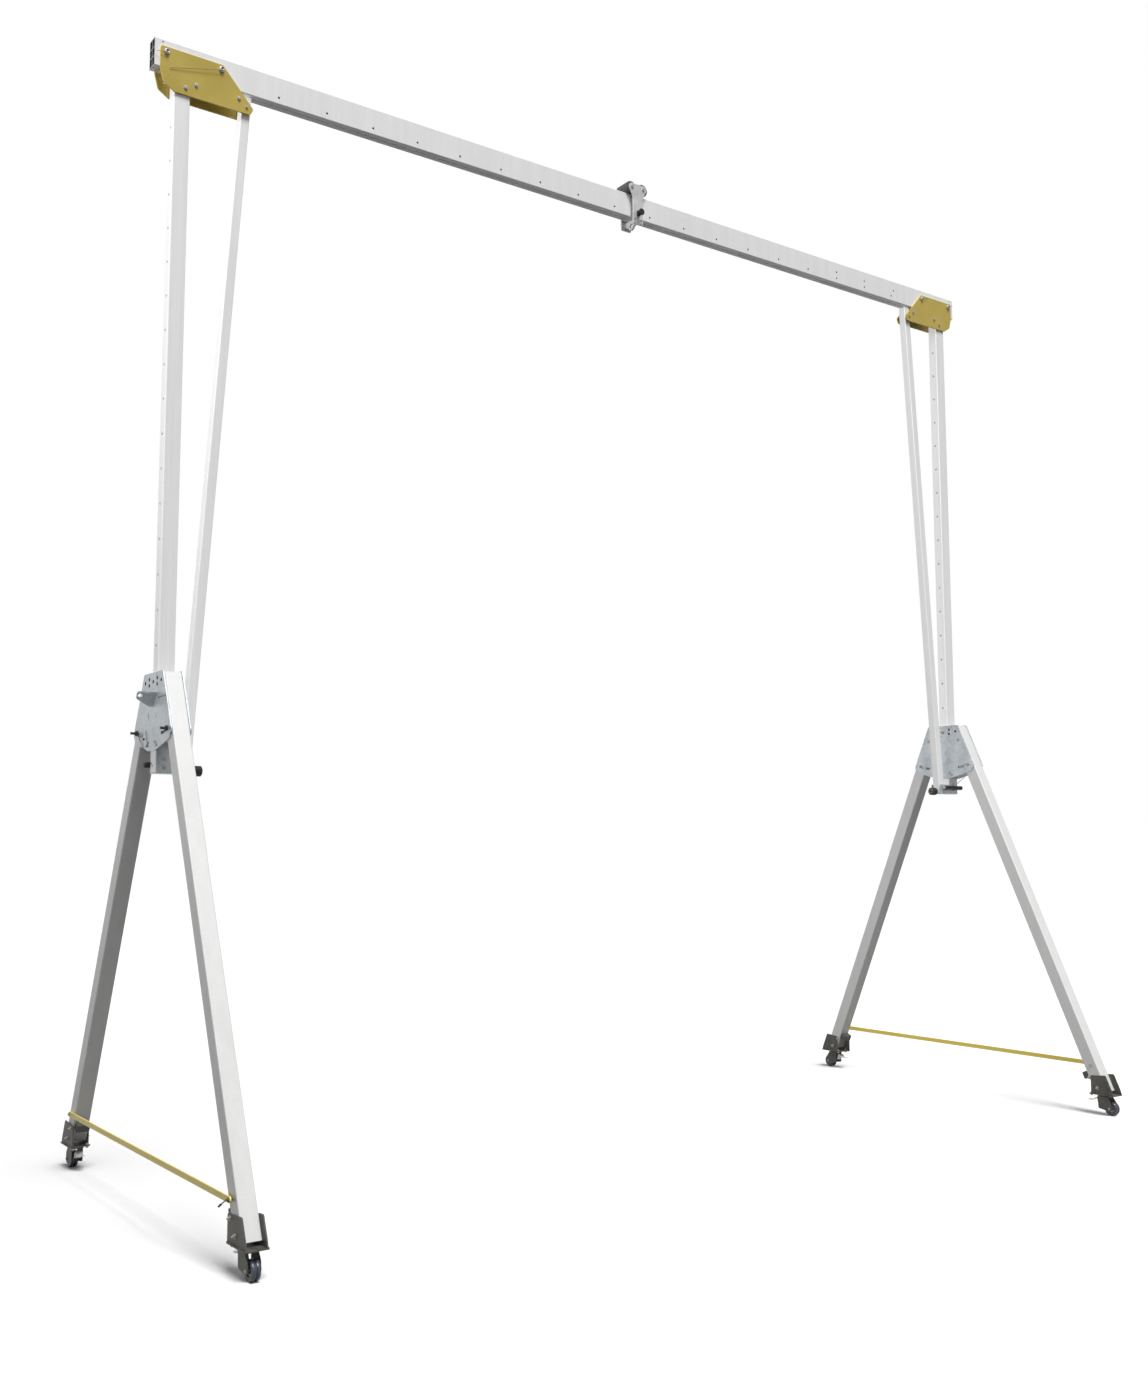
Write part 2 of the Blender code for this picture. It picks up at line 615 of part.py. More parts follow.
def build_fork_master(looks):
    """Swivel fork about a vertical line: disc, crown, two cheeks and the wheel's axle."""
    top = FOOT_BASE_BOTTOM - GAP
    crown = [(-0.030, -0.028, 0.008), (0.030, -0.028, 0.008), (0.030, 0.044, 0.008),
             (-0.030, 0.044, 0.008)]
    fork = prism("fork_master", looks["steel"], "Z", rounded(crown, 2), [], 0.097, 0.104)
    disc = turned("fork_disc", looks["steel"], "Z", (0, 0), [(0.022, 0.1005), (0.022, top)], 10)
    tools = [disc]
    cheek = rounded([(-0.024, 0.101, 0), (-0.021, 0.036, 0.008), (0.052, 0.024, 0.012),
                     (0.066, 0.034, 0.010), (0.062, 0.072, 0.012), (0.040, 0.101, 0)], 2)
    for side in (-1, 1):
        ends = sorted((side * FORK_GAP, side * (FORK_GAP + FORK_SIDE)))
        tools.append(prism(f"fork_cheek_{side}", looks["steel"], "X", cheek, [], *ends))
    end = FORK_GAP + FORK_SIDE + 0.004
    tools.append(turned("fork_axle", looks["steel"], "X", (TRAIL, WHEEL_RADIUS),
                        [(AXLE_RADIUS, -end), (AXLE_RADIUS, end)], 8))
    for tool in tools:
        combine(fork, tool, "UNION")
    return bake(fork)


def build_wheel_master(looks):
    """Tyre with two lobes round a hub with a bore."""
    half, radius = WHEEL_HALF, WHEEL_RADIUS
    bore = AXLE_RADIUS + PIN_GAP
    side = [(radius - 0.004, 0.0), (radius, 0.004), (radius, half - 0.005), (radius - 0.006, half),
            (0.020, half), (bore, half - 0.003)]
    other = [(r, -w) for r, w in side[1:]]
    profile = side + other[::-1]
    return turned("wheel_master", looks["tyre"], "X", (0, 0), profile, 16, ring=True)


def build_pedal_master(looks):
    """Bent brake strip with a rolled eye at its hinge and a turned-up toe."""
    upper = [(-0.008, 0.0300), (-0.012, 0.0330), (-0.022, 0.0330), (-0.030, 0.0260),
             (-0.042, 0.0180), (-0.060, 0.0165), (-0.070, 0.0185)]
    lower = [(-0.070, 0.0155), (-0.060, 0.0135), (-0.043, 0.0150), (-0.028, 0.0240),
             (-0.021, 0.0300), (-0.013, 0.0300), (-0.011, 0.0280)]
    eye = arc(0, 0, 0.0045, 160, 400, 6)
    return prism("pedal_master", looks["zinc"], "X", eye + upper + lower, [], -0.016, 0.016)


def copy_of(master, name, look, parent, location, turn=0.0):
    made = bpy.data.objects.new(name, master.data.copy())
    made.data.name = name
    made.data.materials.clear()
    made.data.materials.append(look)
    bpy.context.scene.collection.objects.link(made)
    made.parent = parent
    made.location = location
    made.rotation_euler = (0, 0, turn)
    return made


def build_foot(base, way, tail, masters, looks):
    """Saddle, fork, wheel and brake pedal under one leg; the castor trails outwards."""
    turn = 0.0 if way > 0 else math.pi
    fork, wheel, pedal = masters
    build_bracket(base, way, f"foot_bracket_{tail}", looks["steel"])
    y = way * CASTOR_Y
    copy_of(fork, f"castor_fork_{tail}", looks["steel"], base, (0, y, 0), turn)
    copy_of(wheel, f"castor_wheel_{tail}", looks["tyre"], base,
            (0, y + way * TRAIL, WHEEL_RADIUS), turn)
    copy_of(pedal, f"brake_pedal_{tail}", looks["zinc"], base,
            (0, y + way * PEDAL_Y, PEDAL_Z), turn)


# ---------------------------------------------------------------- trolley

def trolley_outline():
    """Side plate: two round ears over the axles and a neck down past the beam."""
    ear = ROLLER_SPACING / 2
    right = arc(ear, AXLE_Z, EAR_RADIUS, 100, -38, 8)
    right += [(NECK_HALF + 0.002, AXLE_Z - 0.052), (NECK_HALF, AXLE_Z - 0.066)]
    right += arc(NECK_HALF - 0.006, TROLLEY_BOTTOM + 0.006, 0.006, 0, -90, 3)
    return right + mirrored(right)[::-1]


def build_trolley(looks):
    base = empty("trolley_axis", (TROLLEY_X, 0, 0))
    near = ROLLER_HALF + 0.0005
    far = near + TROLLEY_PLATE
    ear = ROLLER_SPACING / 2
    axles = [circle(x, AXLE_Z, TROLLEY_AXLE_RADIUS + PIN_GAP, 10) for x in (-ear, ear)]
    plunger = circle(0, TROLLEY_KNOB_Z, TROLLEY_KNOB_NOSE + PIN_GAP, 10)
    outline = trolley_outline()
    prism("trolley_plate_front", looks["galvanised"], "Y", outline, axles + [plunger],
          -far, -near, parent=base)
    prism("trolley_plate_rear", looks["galvanised"], "Y", outline, axles, near, far, parent=base)

    bore = TROLLEY_AXLE_RADIUS + PIN_GAP
    r, half = ROLLER_RADIUS, ROLLER_HALF
    roller = [(bore, -half), (r - 0.002, -half), (r, 0.002 - half), (r, half - 0.002),
              (r - 0.002, half), (bore, half)]
    shank, head, end = TROLLEY_AXLE_RADIUS, 0.0095, far + GAP
    axle = [(head, -end - 0.007), (head, -end), (shank, -end), (shank, end), (head, end),
            (head, end + 0.007)]
    for x, word in ((-ear, "left"), (ear, "right")):
        turned(f"trolley_roller_{word}", looks["charcoal"], "Y", (x, AXLE_Z), roller, 20, ring=True,
               parent=base, origin=(x, 0, AXLE_Z))
        turned(f"trolley_axle_{word}", looks["zinc"], "Y", (x, AXLE_Z), axle, 10,
               parent=base, origin=(x, 0, AXLE_Z))

    half_y = near - 0.0006
    shoulder = 5.010
    lobe = arc(0, EYE_Z, EYE_LOBE, -150, -30, 8)
    outline = [(half_y, BEAM_BOTTOM - 0.003), (-half_y, BEAM_BOTTOM - 0.003), (-half_y, shoulder)]
    outline += lobe + [(half_y, shoulder)]
    prism("trolley_eye", looks["galvanised"], "X", outline, [circle(0, EYE_Z, EYE_RADIUS, 16)],
          -EYE_HALF_THICK, EYE_HALF_THICK, parent=base)

    nose_end = -BEAM_WIDTH / 2 - 0.0005
    knob = [(TROLLEY_KNOB_NOSE, nose_end), (TROLLEY_KNOB_NOSE, -end), (0.011, -end),
            (0.011, -end - 0.012), (0.005, -end - 0.013), (0.005, -end - 0.024),
            (0.0165, -end - 0.025), (0.0185, -end - 0.027), (0.0185, -end - 0.034),
            (0.0165, -end - 0.036)]
    turned("trolley_lock_knob", looks["black"], "Y", (0, TROLLEY_KNOB_Z), knob, 12,
           parent=base, origin=(0, 0, TROLLEY_KNOB_Z))


# ---------------------------------------------------------------- whole crane

def build():
    clear_scene()
    looks = {
        "aluminium": material("aluminium", (0.78, 0.78, 0.77), 0.38, 0.8),
        "yellow": material("yellow_paint", (0.52, 0.38, 0.05), 0.42, 0.1),
        "galvanised": material("galvanised_steel", (0.56, 0.58, 0.60), 0.45, 0.8),
        "steel": material("dull_steel", (0.16, 0.15, 0.14), 0.5, 0.7),
        "zinc": material("zinc_plated", (0.62, 0.62, 0.60), 0.3, 0.9),
        "black": material("black_plastic", (0.02, 0.02, 0.02), 0.45, 0.0),
        "charcoal": material("charcoal_plastic", (0.05, 0.05, 0.055), 0.6, 0.0),
        "tyre": material("dark_tyre", (0.03, 0.035, 0.05), 0.5, 0.0)}

    build_beam(looks["aluminium"])
    masters = [build_fork_master(looks), build_wheel_master(looks), build_pedal_master(looks)]
    for side, word in ((-1, "left"), (1, "right")):
        build_head(side, word, looks)
        build_upright(side, word, looks)
        build_brace(side, word, looks)
        build_shoe(side, word, looks)
        # Both A-frames are the same: the right one is turned to face outboard.
        turn = 0.0 if side < 0 else math.pi
        base = empty(f"a_frame_axis_{word}", (side * HALF_SPAN, 0, 0), turn)
        places = ("front", "rear") if side < 0 else ("rear", "front")
        build_frame_plates(base, word, looks)
        build_locks(base, word, places, looks)
        build_tie(base, word, looks)
        for way, place in zip((-1, 1), places):
            build_leg(base, way, f"leg_{word}_{place}", looks)
            build_foot(base, way, f"{word}_{place}", masters, looks)
    for master in masters:
        bpy.data.objects.remove(master, do_unlink=True)
    build_trolley(looks)


build()
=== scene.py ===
"""Tall portable gantry crane in aluminium: finishes and fine detail around its solids."""
import math

import bpy
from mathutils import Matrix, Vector


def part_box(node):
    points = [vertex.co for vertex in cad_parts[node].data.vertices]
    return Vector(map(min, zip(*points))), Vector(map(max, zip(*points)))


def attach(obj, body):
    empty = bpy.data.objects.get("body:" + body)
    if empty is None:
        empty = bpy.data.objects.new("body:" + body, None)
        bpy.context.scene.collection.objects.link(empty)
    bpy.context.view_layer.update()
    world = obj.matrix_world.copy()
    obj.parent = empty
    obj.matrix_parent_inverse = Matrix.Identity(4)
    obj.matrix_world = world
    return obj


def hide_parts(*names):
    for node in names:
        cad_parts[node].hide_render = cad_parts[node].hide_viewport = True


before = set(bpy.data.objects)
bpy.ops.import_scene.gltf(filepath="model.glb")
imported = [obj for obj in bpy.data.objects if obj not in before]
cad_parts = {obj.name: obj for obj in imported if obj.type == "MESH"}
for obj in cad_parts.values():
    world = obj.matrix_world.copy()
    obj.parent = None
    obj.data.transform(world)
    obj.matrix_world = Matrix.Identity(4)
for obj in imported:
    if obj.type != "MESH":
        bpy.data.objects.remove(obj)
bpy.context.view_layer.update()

# ------------------------------------------------------------------ camera
# A level eye-height view from the left front, turned along the beam and
# tilted slightly up at it.
eye = (-4.695, -6.002, 1.57)
tilt, roll, heading = math.radians(95.85), math.radians(0.095), math.radians(-35.37)
bpy.ops.object.camera_add(location=eye)
camera = bpy.context.object
camera.rotation_euler = (tilt, roll, heading)
camera.data.lens = 36.226
camera.data.shift_x = 0.005
camera.data.shift_y = -0.0036
bpy.context.scene.camera = camera


# ------------------------------------------------------------------ studio
# A pale floor under an even white surround, one broad soft lamp from the
# front and above, and a far one from the left that fades out low down.
class Signal:
    """A shader socket; arithmetic on it adds Math nodes."""

    def __init__(self, finish, socket):
        self.finish = finish
        self.socket = socket

    def maths(self, operation, first, second):
        return self.finish.node("ShaderNodeMath", {"operation": operation}, (first, second))

    def __add__(self, other):
        return self.maths("ADD", self, other)

    def __sub__(self, other):
        return self.maths("SUBTRACT", self, other)

    def __rsub__(self, other):
        return self.maths("SUBTRACT", other, self)

    def __mul__(self, other):
        return self.maths("MULTIPLY", self, other)

    def __gt__(self, other):
        return self.maths("GREATER_THAN", self, other)

    def __lt__(self, other):
        return self.maths("LESS_THAN", self, other)

    def __abs__(self):
        return self.maths("ABSOLUTE", self, 0.0)

    __radd__ = __add__
    __rmul__ = __mul__


class Finish:
    """The nodes of one material or of the world."""

    def __init__(self, owner, slot=""):
        owner.use_nodes = True
        self.owner = owner
        self.slot = slot
        self.tree = owner.node_tree

    def node(self, kind, settings=None, inputs=(), output=0):
        made = self.tree.nodes.new(kind)
        for key, value in (settings or {}).items():
            setattr(made, key, value)
        pairs = inputs.items() if isinstance(inputs, dict) else enumerate(inputs)
        for key, value in pairs:
            self.feed(made.inputs[key], value)
        return Signal(self, made.outputs[output])

    def feed(self, socket, value):
        if isinstance(value, Signal):
            self.tree.links.new(value.socket, socket)
        elif hasattr(socket.default_value, "__len__") and len(socket.default_value) == 4:
            socket.default_value = (*value, 1.0)
        else:
            socket.default_value = value

    def mixed(self, mask, one, two):
        return self.node("ShaderNodeMix", {"data_type": "RGBA"}, {0: mask, 6: one, 7: two}, 2)

    def ranged(self, signal, low, high, new_low, new_high):
        return self.node("ShaderNodeMapRange", {}, (signal, low, high, new_low, new_high))

    def noise(self, vector, scale, detail=3.0):
        return self.node("ShaderNodeTexNoise", {}, {"Vector": vector, "Scale": scale,
                                                    "Detail": detail})

    def place(self, turn=(0, 0, 0), scale=(1, 1, 1)):
        here = self.node("ShaderNodeTexCoord", output="Object")
        return self.node("ShaderNodeMapping", {}, {"Vector": here, "Rotation": turn,
                                                   "Scale": scale})

    def split(self, vector):
        """The three parts of a vector."""
        parts = self.node("ShaderNodeSeparateXYZ", {}, (vector,))
        return [Signal(self, output) for output in parts.socket.node.outputs]

    def surface(self, colour, roughness, metallic, height=None, depth=0.0, shine=0.5):
        shader = self.tree.nodes["Principled BSDF"]
        shader.inputs["Specular IOR Level"].default_value = shine
        self.feed(shader.inputs["Base Color"], colour)
        self.feed(shader.inputs["Roughness"], roughness)
        self.feed(shader.inputs["Metallic"], metallic)
        if height is not None:
            bump = self.node("ShaderNodeBump", {}, {"Height": height, "Distance": depth})
            self.feed(shader.inputs["Normal"], bump)
        return self


def seen_directly(finish):
    """One where the camera, a glossy or a clear surface looks straight at the backdrop."""
    camera_ray = finish.node("ShaderNodeLightPath", output="Is Camera Ray")
    glossy_ray = finish.node("ShaderNodeLightPath", output="Is Glossy Ray")
    clear_ray = finish.node("ShaderNodeLightPath", output="Is Transmission Ray")
    either = camera_ray.maths("MAXIMUM", camera_ray, glossy_ray)
    return either.maths("MAXIMUM", either, clear_ray)


def grey(level):
    """A neutral colour."""
    return (level, level, level)


floor_width = 240.0
floor_bounce, floor_white = grey(0.035), grey(0.9)
bpy.ops.mesh.primitive_plane_add(size=floor_width, location=(0, 0, 0))
floor = bpy.context.object
floor.name = floor.data.name = "floor"
floor.data.materials.append(bpy.data.materials.new("studio_floor"))
floor_look = Finish(floor.data.materials[0])
floor_colour = floor_look.mixed(seen_directly(floor_look), floor_bounce, floor_white)
matt = floor_look.node("ShaderNodeBsdfDiffuse", {}, (floor_colour,))
floor_look.feed(floor_look.tree.nodes["Material Output"].inputs["Surface"], matt)

world = bpy.context.scene.world or bpy.data.worlds.new("studio")
bpy.context.scene.world = world
surround = Finish(world)
sky_fill, sky_white = grey(0.25), grey(1.0)
sky = surround.mixed(seen_directly(surround), sky_fill, sky_white)
surround.feed(surround.tree.nodes["Background"].inputs["Color"], sky)

towards_lamp = Vector((-0.03, -0.46, 0.86))
lamp_distance = 10
bpy.ops.object.light_add(type="SUN", location=towards_lamp * lamp_distance)
main_lamp = bpy.context.object
main_lamp.rotation_euler = towards_lamp.to_track_quat("Z", "Y").to_euler()
main_lamp.data.energy = 3.5
main_lamp.data.angle = math.radians(28)

end_lamp_place = (-16.0, -0.5, 9.0)
towards_end_lamp = Vector((-0.970, -0.03, 0.242))
bpy.ops.object.light_add(type="SPOT", location=end_lamp_place)
end_lamp = bpy.context.object
end_lamp.rotation_euler = towards_end_lamp.to_track_quat("Z", "Y").to_euler()
end_lamp.data.spot_size = math.radians(36)
end_lamp.data.spot_blend = 1.0
end_lamp.data.shadow_soft_size = 1.5
end_lamp.data.energy = 7800.0
end_lamp.data.use_shadow = False

bpy.context.scene.view_settings.view_transform = "Standard"


# ------------------------------------------------------------------ beam
# One long hollow extrusion in aluminium, sawn square at both ends, with open chambers and a row of
# drilled holes. It keeps its shape and takes a finish, with shade painted dark on the walls of its
# chambers and holes and on its sawn ends.
def drawn_aluminium(name, turn, pale=(0.89, 0.89, 0.89), shade_mask=None):
    """Mill finish with faint die lines along the local Z axis after the turn, and painted shade,
    near black, on the faces that a mask picks out.
    """
    # The scuff colour is wear; the near-black grey is painted shade.
    scuffed, painted_shade = (0.56, 0.56, 0.555), grey(0.045)
    painted_shade_cover = 0.86
    finish = Finish(bpy.data.materials.new(name), "aluminium")
    lines = finish.noise(finish.place(turn, (90, 90, 0.7)), 3.0, 4.0)
    bands = finish.noise(finish.place(turn, (14, 14, 0.25)), 2.0, 2.0)
    clouds = finish.noise(finish.place(turn, (1, 1, 0.5)), 4.5, 5.0)
    specks = finish.noise(finish.place(turn, (1, 1, 0.3)), 260.0, 2.0)
    tone = finish.ranged(lines * 0.45 + bands * 0.35 + clouds * 0.20, 0.35, 0.65, 0.0, 1.0)
    scuff = (specks > 0.685) * finish.ranged(clouds, 0.5, 0.62, 0.0, 0.55)
    colour = finish.mixed(tone, [part * 0.95 for part in pale], [part * 1.05 for part in pale])
    colour = finish.mixed(scuff, colour, scuffed)
    # Painted shade: the faces that the mask picks out are mixed towards near black.
    if shade_mask:
        colour = finish.mixed(shade_mask(finish) * painted_shade_cover, colour, painted_shade)
    rough = finish.ranged(clouds, 0.3, 0.7, 0.36, 0.50) + scuff * 0.12
    return finish.surface(colour, rough, 0.05, lines * 0.7 + specks * 0.3, 0.00025)


def coat(nodes, finish):
    """Give carried-over solids a finish."""
    for node in nodes:
        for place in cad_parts[node].material_slots:
            place.material = finish.owner


beam_low, beam_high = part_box("beam")


def beam_inside(finish):
    """The walls of the chambers and holes and the sawn ends, where shade is painted dark."""
    skin, sawn_cover = 0.0012, 0.80
    x, y, z = finish.split(finish.place())
    within = (abs(y) < beam_high.y - skin) * (z > beam_low.z + skin) * (z < beam_high.z - skin)
    sawn = (abs(x) > beam_high.x - skin) * sawn_cover
    return within.maths("MAXIMUM", within * (abs(x) < beam_high.x - skin), sawn)


along_beam = (0, math.radians(90), 0)
# The beam's chamber walls, hole walls and sawn ends take painted shade.
coat(["beam"], drawn_aluminium("aluminium_beam", along_beam, shade_mask=beam_inside))


# ------------------------------------------------------------------ uprights and braces
# Rectangular aluminium tubes. The uprights stand straight and the braces lean
# inwards towards the middle of the beam, each with its own die lines.
sides = {"left": -1, "right": 1}
brace_lean = math.radians(3.85)
coat([f"upright_{side}" for side in sides], drawn_aluminium("aluminium_upright", (0, 0, 0)))
for side, sign in sides.items():
    coat([f"brace_{side}"], drawn_aluminium(f"aluminium_brace_{side}", (0, sign * brace_lean, 0)))


# ------------------------------------------------------------------ legs
# Four splayed tubes in drawn aluminium, sawn level at their ends, with faint die lines along them.
# Shade is painted dark on their side faces where they turn in the plates, and their aluminium is
# painted a shade darker than the beam's.
ends = {"front": -1, "rear": 1}
leg_splay = math.radians(24.30)
# Painted shade: the legs' aluminium is a darker copy of the beam's pale, so that their upturned
# faces render no brighter than the beam.
leg_shaded_tone = (0.675, 0.675, 0.67)


def leg_painted_shade(finish):
    """The side faces where a leg turns between its plates, where shade is painted dark."""
    facing, shaded_above = 0.7, 2.215
    normal = finish.node("ShaderNodeTexCoord", output="Normal")
    across = finish.split(normal)[0]
    height = finish.split(finish.place())[2]
    return (abs(across) > facing) * (height > shaded_above)


for end, way in ends.items():
    along_leg = (-way * leg_splay, 0, 0)
    finish = drawn_aluminium(f"aluminium_leg_{end}", along_leg, leg_shaded_tone, leg_painted_shade)
    coat([f"leg_{side}_{end}" for side in sides], finish)


# ------------------------------------------------------------------ head plates
# Laser-cut steel plates on both faces of the beam, powder coated golden
# yellow, with their cut edges lightly rounded by the coat.
def alone(piece):
    """Select one piece and nothing else."""
    bpy.ops.object.select_all(action="DESELECT")
    piece.select_set(True)
    bpy.context.view_layer.objects.active = piece
    return piece


def named(piece, name):
    """Name a piece and its mesh alike."""
    piece.name = piece.data.name = name
    return piece


def modified(piece, kind, **settings):
    """Add a modifier and apply it."""
    alone(piece)
    added = piece.modifiers.new(kind.lower(), kind)
    for key, value in settings.items():
        setattr(added, key, value)
    bpy.ops.object.modifier_apply(modifier=added.name)
    return piece


def smooth(piece, degrees=35):
    """Shade smooth across edges that turn by less than an angle."""
    alone(piece)
    bpy.ops.object.shade_smooth_by_angle(angle=math.radians(degrees))
    return piece


def eased(piece, width, segments=2):
    """Round every sharp edge by a small radius."""
    sharp_angle = math.radians(32)
    modified(piece, "BEVEL", width=width, segments=segments, limit_method="ANGLE",
             angle_limit=sharp_angle, harden_normals=False)
    smooth(piece)
    return modified(piece, "WEIGHTED_NORMAL", weight=80, keep_sharp=True)


def fitted(piece, finish, body):
    """Give a new piece its finish and the body that it moves with."""
    piece.data.materials.clear()
    piece.data.materials.append(finish.owner)
    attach(piece, body)
    return piece


def refined(node, name, width, finish, body):
    """A carried-over solid's shape, merged and with its edges eased."""
    merge_distance, flat_angle = 0.00001, math.radians(1)
    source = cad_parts[node]
    piece = source.copy()
    piece.data = source.data.copy()
    bpy.context.scene.collection.objects.link(piece)
    piece.hide_render = False
    alone(named(piece, name))
    bpy.ops.mesh.customdata_custom_splitnormals_clear()
    bpy.ops.object.mode_set(mode="EDIT")
    bpy.ops.mesh.select_all(action="SELECT")
    bpy.ops.mesh.remove_doubles(threshold=merge_distance)
    bpy.ops.mesh.dissolve_limited(angle_limit=flat_angle)
    bpy.ops.object.mode_set(mode="OBJECT")
    eased(piece, width)
    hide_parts(node)
    return fitted(piece, finish, body)


yellow = Finish(bpy.data.materials.new("yellow_powder_coat"), "yellow_paint")
peel = yellow.noise(yellow.place(), 420.0, 2.0)
drift = yellow.noise(yellow.place(), 7.0, 4.0)
chips = yellow.noise(yellow.place(), 95.0, 5.0) > 0.735
yellow_tone = yellow.mixed(yellow.ranged(drift, 0.35, 0.65, 0.0, 1.0),
                           (0.500, 0.375, 0.058), (0.560, 0.425, 0.072))
yellow_tone = yellow.mixed(chips, yellow_tone, (0.40, 0.31, 0.08))
yellow.surface(yellow_tone, yellow.ranged(drift, 0.3, 0.7, 0.34, 0.46), 0.0,
               peel - chips * 0.6, 0.0003)
coated_edge = 0.0012
for node in [f"head_plate_{side}_{face}" for side in sides for face in ("front", "rear")]:
    refined(node, f"{node}_coated", coated_edge, yellow, "beam_assembly")


# ------------------------------------------------------------------ head bolts
# Zinc-plated hexagon bolts with washers through both head plates, with nuts
# behind: two by the top of the upright and two by the top of the brace.
def drum(start, axis, radius, length, sides_count=32):
    """A cylinder from a start point along an axis."""
    along = Vector(axis).normalized()
    turn = along.to_track_quat("Z", "Y").to_euler()
    bpy.ops.mesh.primitive_cylinder_add(vertices=sides_count, radius=radius, depth=length,
                                        location=Vector(start) + along * length / 2,
                                        rotation=turn)
    bpy.ops.object.transform_apply(location=True, rotation=True, scale=True)
    return bpy.context.object


def joined(name, parts):
    """Several bodies as one named piece."""
    bpy.ops.object.select_all(action="DESELECT")
    for part in parts:
        part.select_set(True)
    bpy.context.view_layer.objects.active = parts[0]
    if len(parts) > 1:
        bpy.ops.object.join()
    return named(bpy.context.object, name)


def hexagon(start, axis, across, height):
    """A hexagon head or nut on its washer, standing on a face."""
    washer_share, head_share = 0.22, 0.78
    washer_radius, corner_radius = across * 0.78, across * 0.577
    washer = drum(start, axis, washer_radius, height * washer_share, 24)
    eased(washer, height * 0.05)
    seat = Vector(start) + Vector(axis).normalized() * height * washer_share
    head = drum(seat, axis, corner_radius, height * head_share, 6)
    return [washer, eased(head, height * 0.12)]


def through_bolt(spot, axis, half_grip, across, height):
    """A bolt head on one side and a nut with its stud end on the other."""
    along = Vector(axis).normalized()
    parts = hexagon(spot + along * half_grip, along, across, height)
    parts += hexagon(spot - along * half_grip, -along, across, height)
    stud = drum(spot - along * (half_grip + height * 0.9), -along, across * 0.28, height * 0.35, 16)
    return parts + [eased(stud, height * 0.06)]


def mottled(name, slot, cloud, shades, rough, metallic, depth, relief=None, shine=0.5,
            stretch=(1, 1, 1)):
    """A finish that one noise takes from dark to light and from smooth to rough."""
    finish = Finish(bpy.data.materials.new(name), slot)
    tone = finish.noise(finish.place(scale=stretch), *cloud)
    height = finish.noise(finish.place(), *relief) if relief else tone
    return finish.surface(finish.mixed(tone, *shades), finish.ranged(tone, 0.3, 0.7, *rough),
                          metallic, height, depth, shine)


zinc = mottled("zinc_plate", "zinc", (160.0, 4.0), ((0.25, 0.245, 0.23), (0.43, 0.425, 0.405)),
               (0.28, 0.44), 0.50, 0.0001)
# Each bolt's place along and up, and its width across flats.
head_bolt_spots = ((2.580, 4.969, 0.014), (2.531, 4.996, 0.014), (2.326, 4.998, 0.013),
                   (2.287, 4.967, 0.010))
head_bolt_height = 0.007
head_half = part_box("head_plate_left_rear")[1].y
for side, sign in sides.items():
    bolts = []
    for x, z, across in head_bolt_spots:
        spot = Vector((sign * x, 0, z))
        bolts += through_bolt(spot, (0, -1, 0), head_half, across, head_bolt_height)
    fitted(joined(f"head_bolts_{side}", bolts), zinc, "beam_assembly")


# ------------------------------------------------------------------ head pins
# Quick pins that hold the beam in the head: a flanged steel pin with a hollow
# round grip, and a stiff spring wire out of the grip that stops it turning.
def turned(name, start, axis, profile, steps=32):
    """A turned piece; the profile is (distance along the axis, radius) from the start."""
    closing_distance = 0.000005
    along = Vector(axis).normalized()
    outwards = along.orthogonal().normalized()
    spots = [Vector(start) + along * distance + outwards * radius for distance, radius in profile]
    bpy.ops.object.select_all(action="DESELECT")
    bpy.ops.mesh.primitive_plane_add(size=0.001, location=spots[0])
    piece = named(bpy.context.object, name)
    bpy.ops.object.mode_set(mode="EDIT")
    bpy.ops.mesh.select_all(action="SELECT")
    bpy.ops.mesh.merge(type="CENTER")
    for one, two in zip(spots, spots[1:]):
        bpy.ops.mesh.extrude_vertices_move(TRANSFORM_OT_translate={"value": two - one})
    bpy.ops.mesh.select_all(action="SELECT")
    bpy.ops.mesh.spin(steps=steps, angle=2 * math.pi, center=start, axis=along)
    bpy.ops.mesh.select_all(action="SELECT")
    bpy.ops.mesh.remove_doubles(threshold=closing_distance)
    bpy.ops.mesh.normals_make_consistent(inside=False)
    bpy.ops.object.mode_set(mode="OBJECT")
    bpy.ops.object.transform_apply(location=True, rotation=True, scale=True)
    return smooth(piece, 30)


def wire(name, spots, radius):
    """A bent round wire through the given points."""
    bpy.ops.object.select_all(action="DESELECT")
    bpy.ops.curve.primitive_bezier_curve_add(location=(0, 0, 0))
    bent = bpy.context.object
    line = bent.data.splines[0]
    line.bezier_points.add(len(spots) - 2)
    for point, spot in zip(line.bezier_points, spots):
        point.co = spot
        point.handle_left_type = point.handle_right_type = "AUTO"
    bent.data.bevel_depth = radius
    bent.data.bevel_resolution = 2
    bent.data.resolution_u = 8
    bent.data.use_fill_caps = True
    bpy.ops.object.convert(target="MESH")
    return smooth(named(bpy.context.object, name))


spring_steel = mottled("spring_steel", "dull_steel", (60.0, 4.0),
                       ((0.060, 0.050, 0.036), (0.120, 0.105, 0.085)), (0.40, 0.55), 0.3, 0.0001)
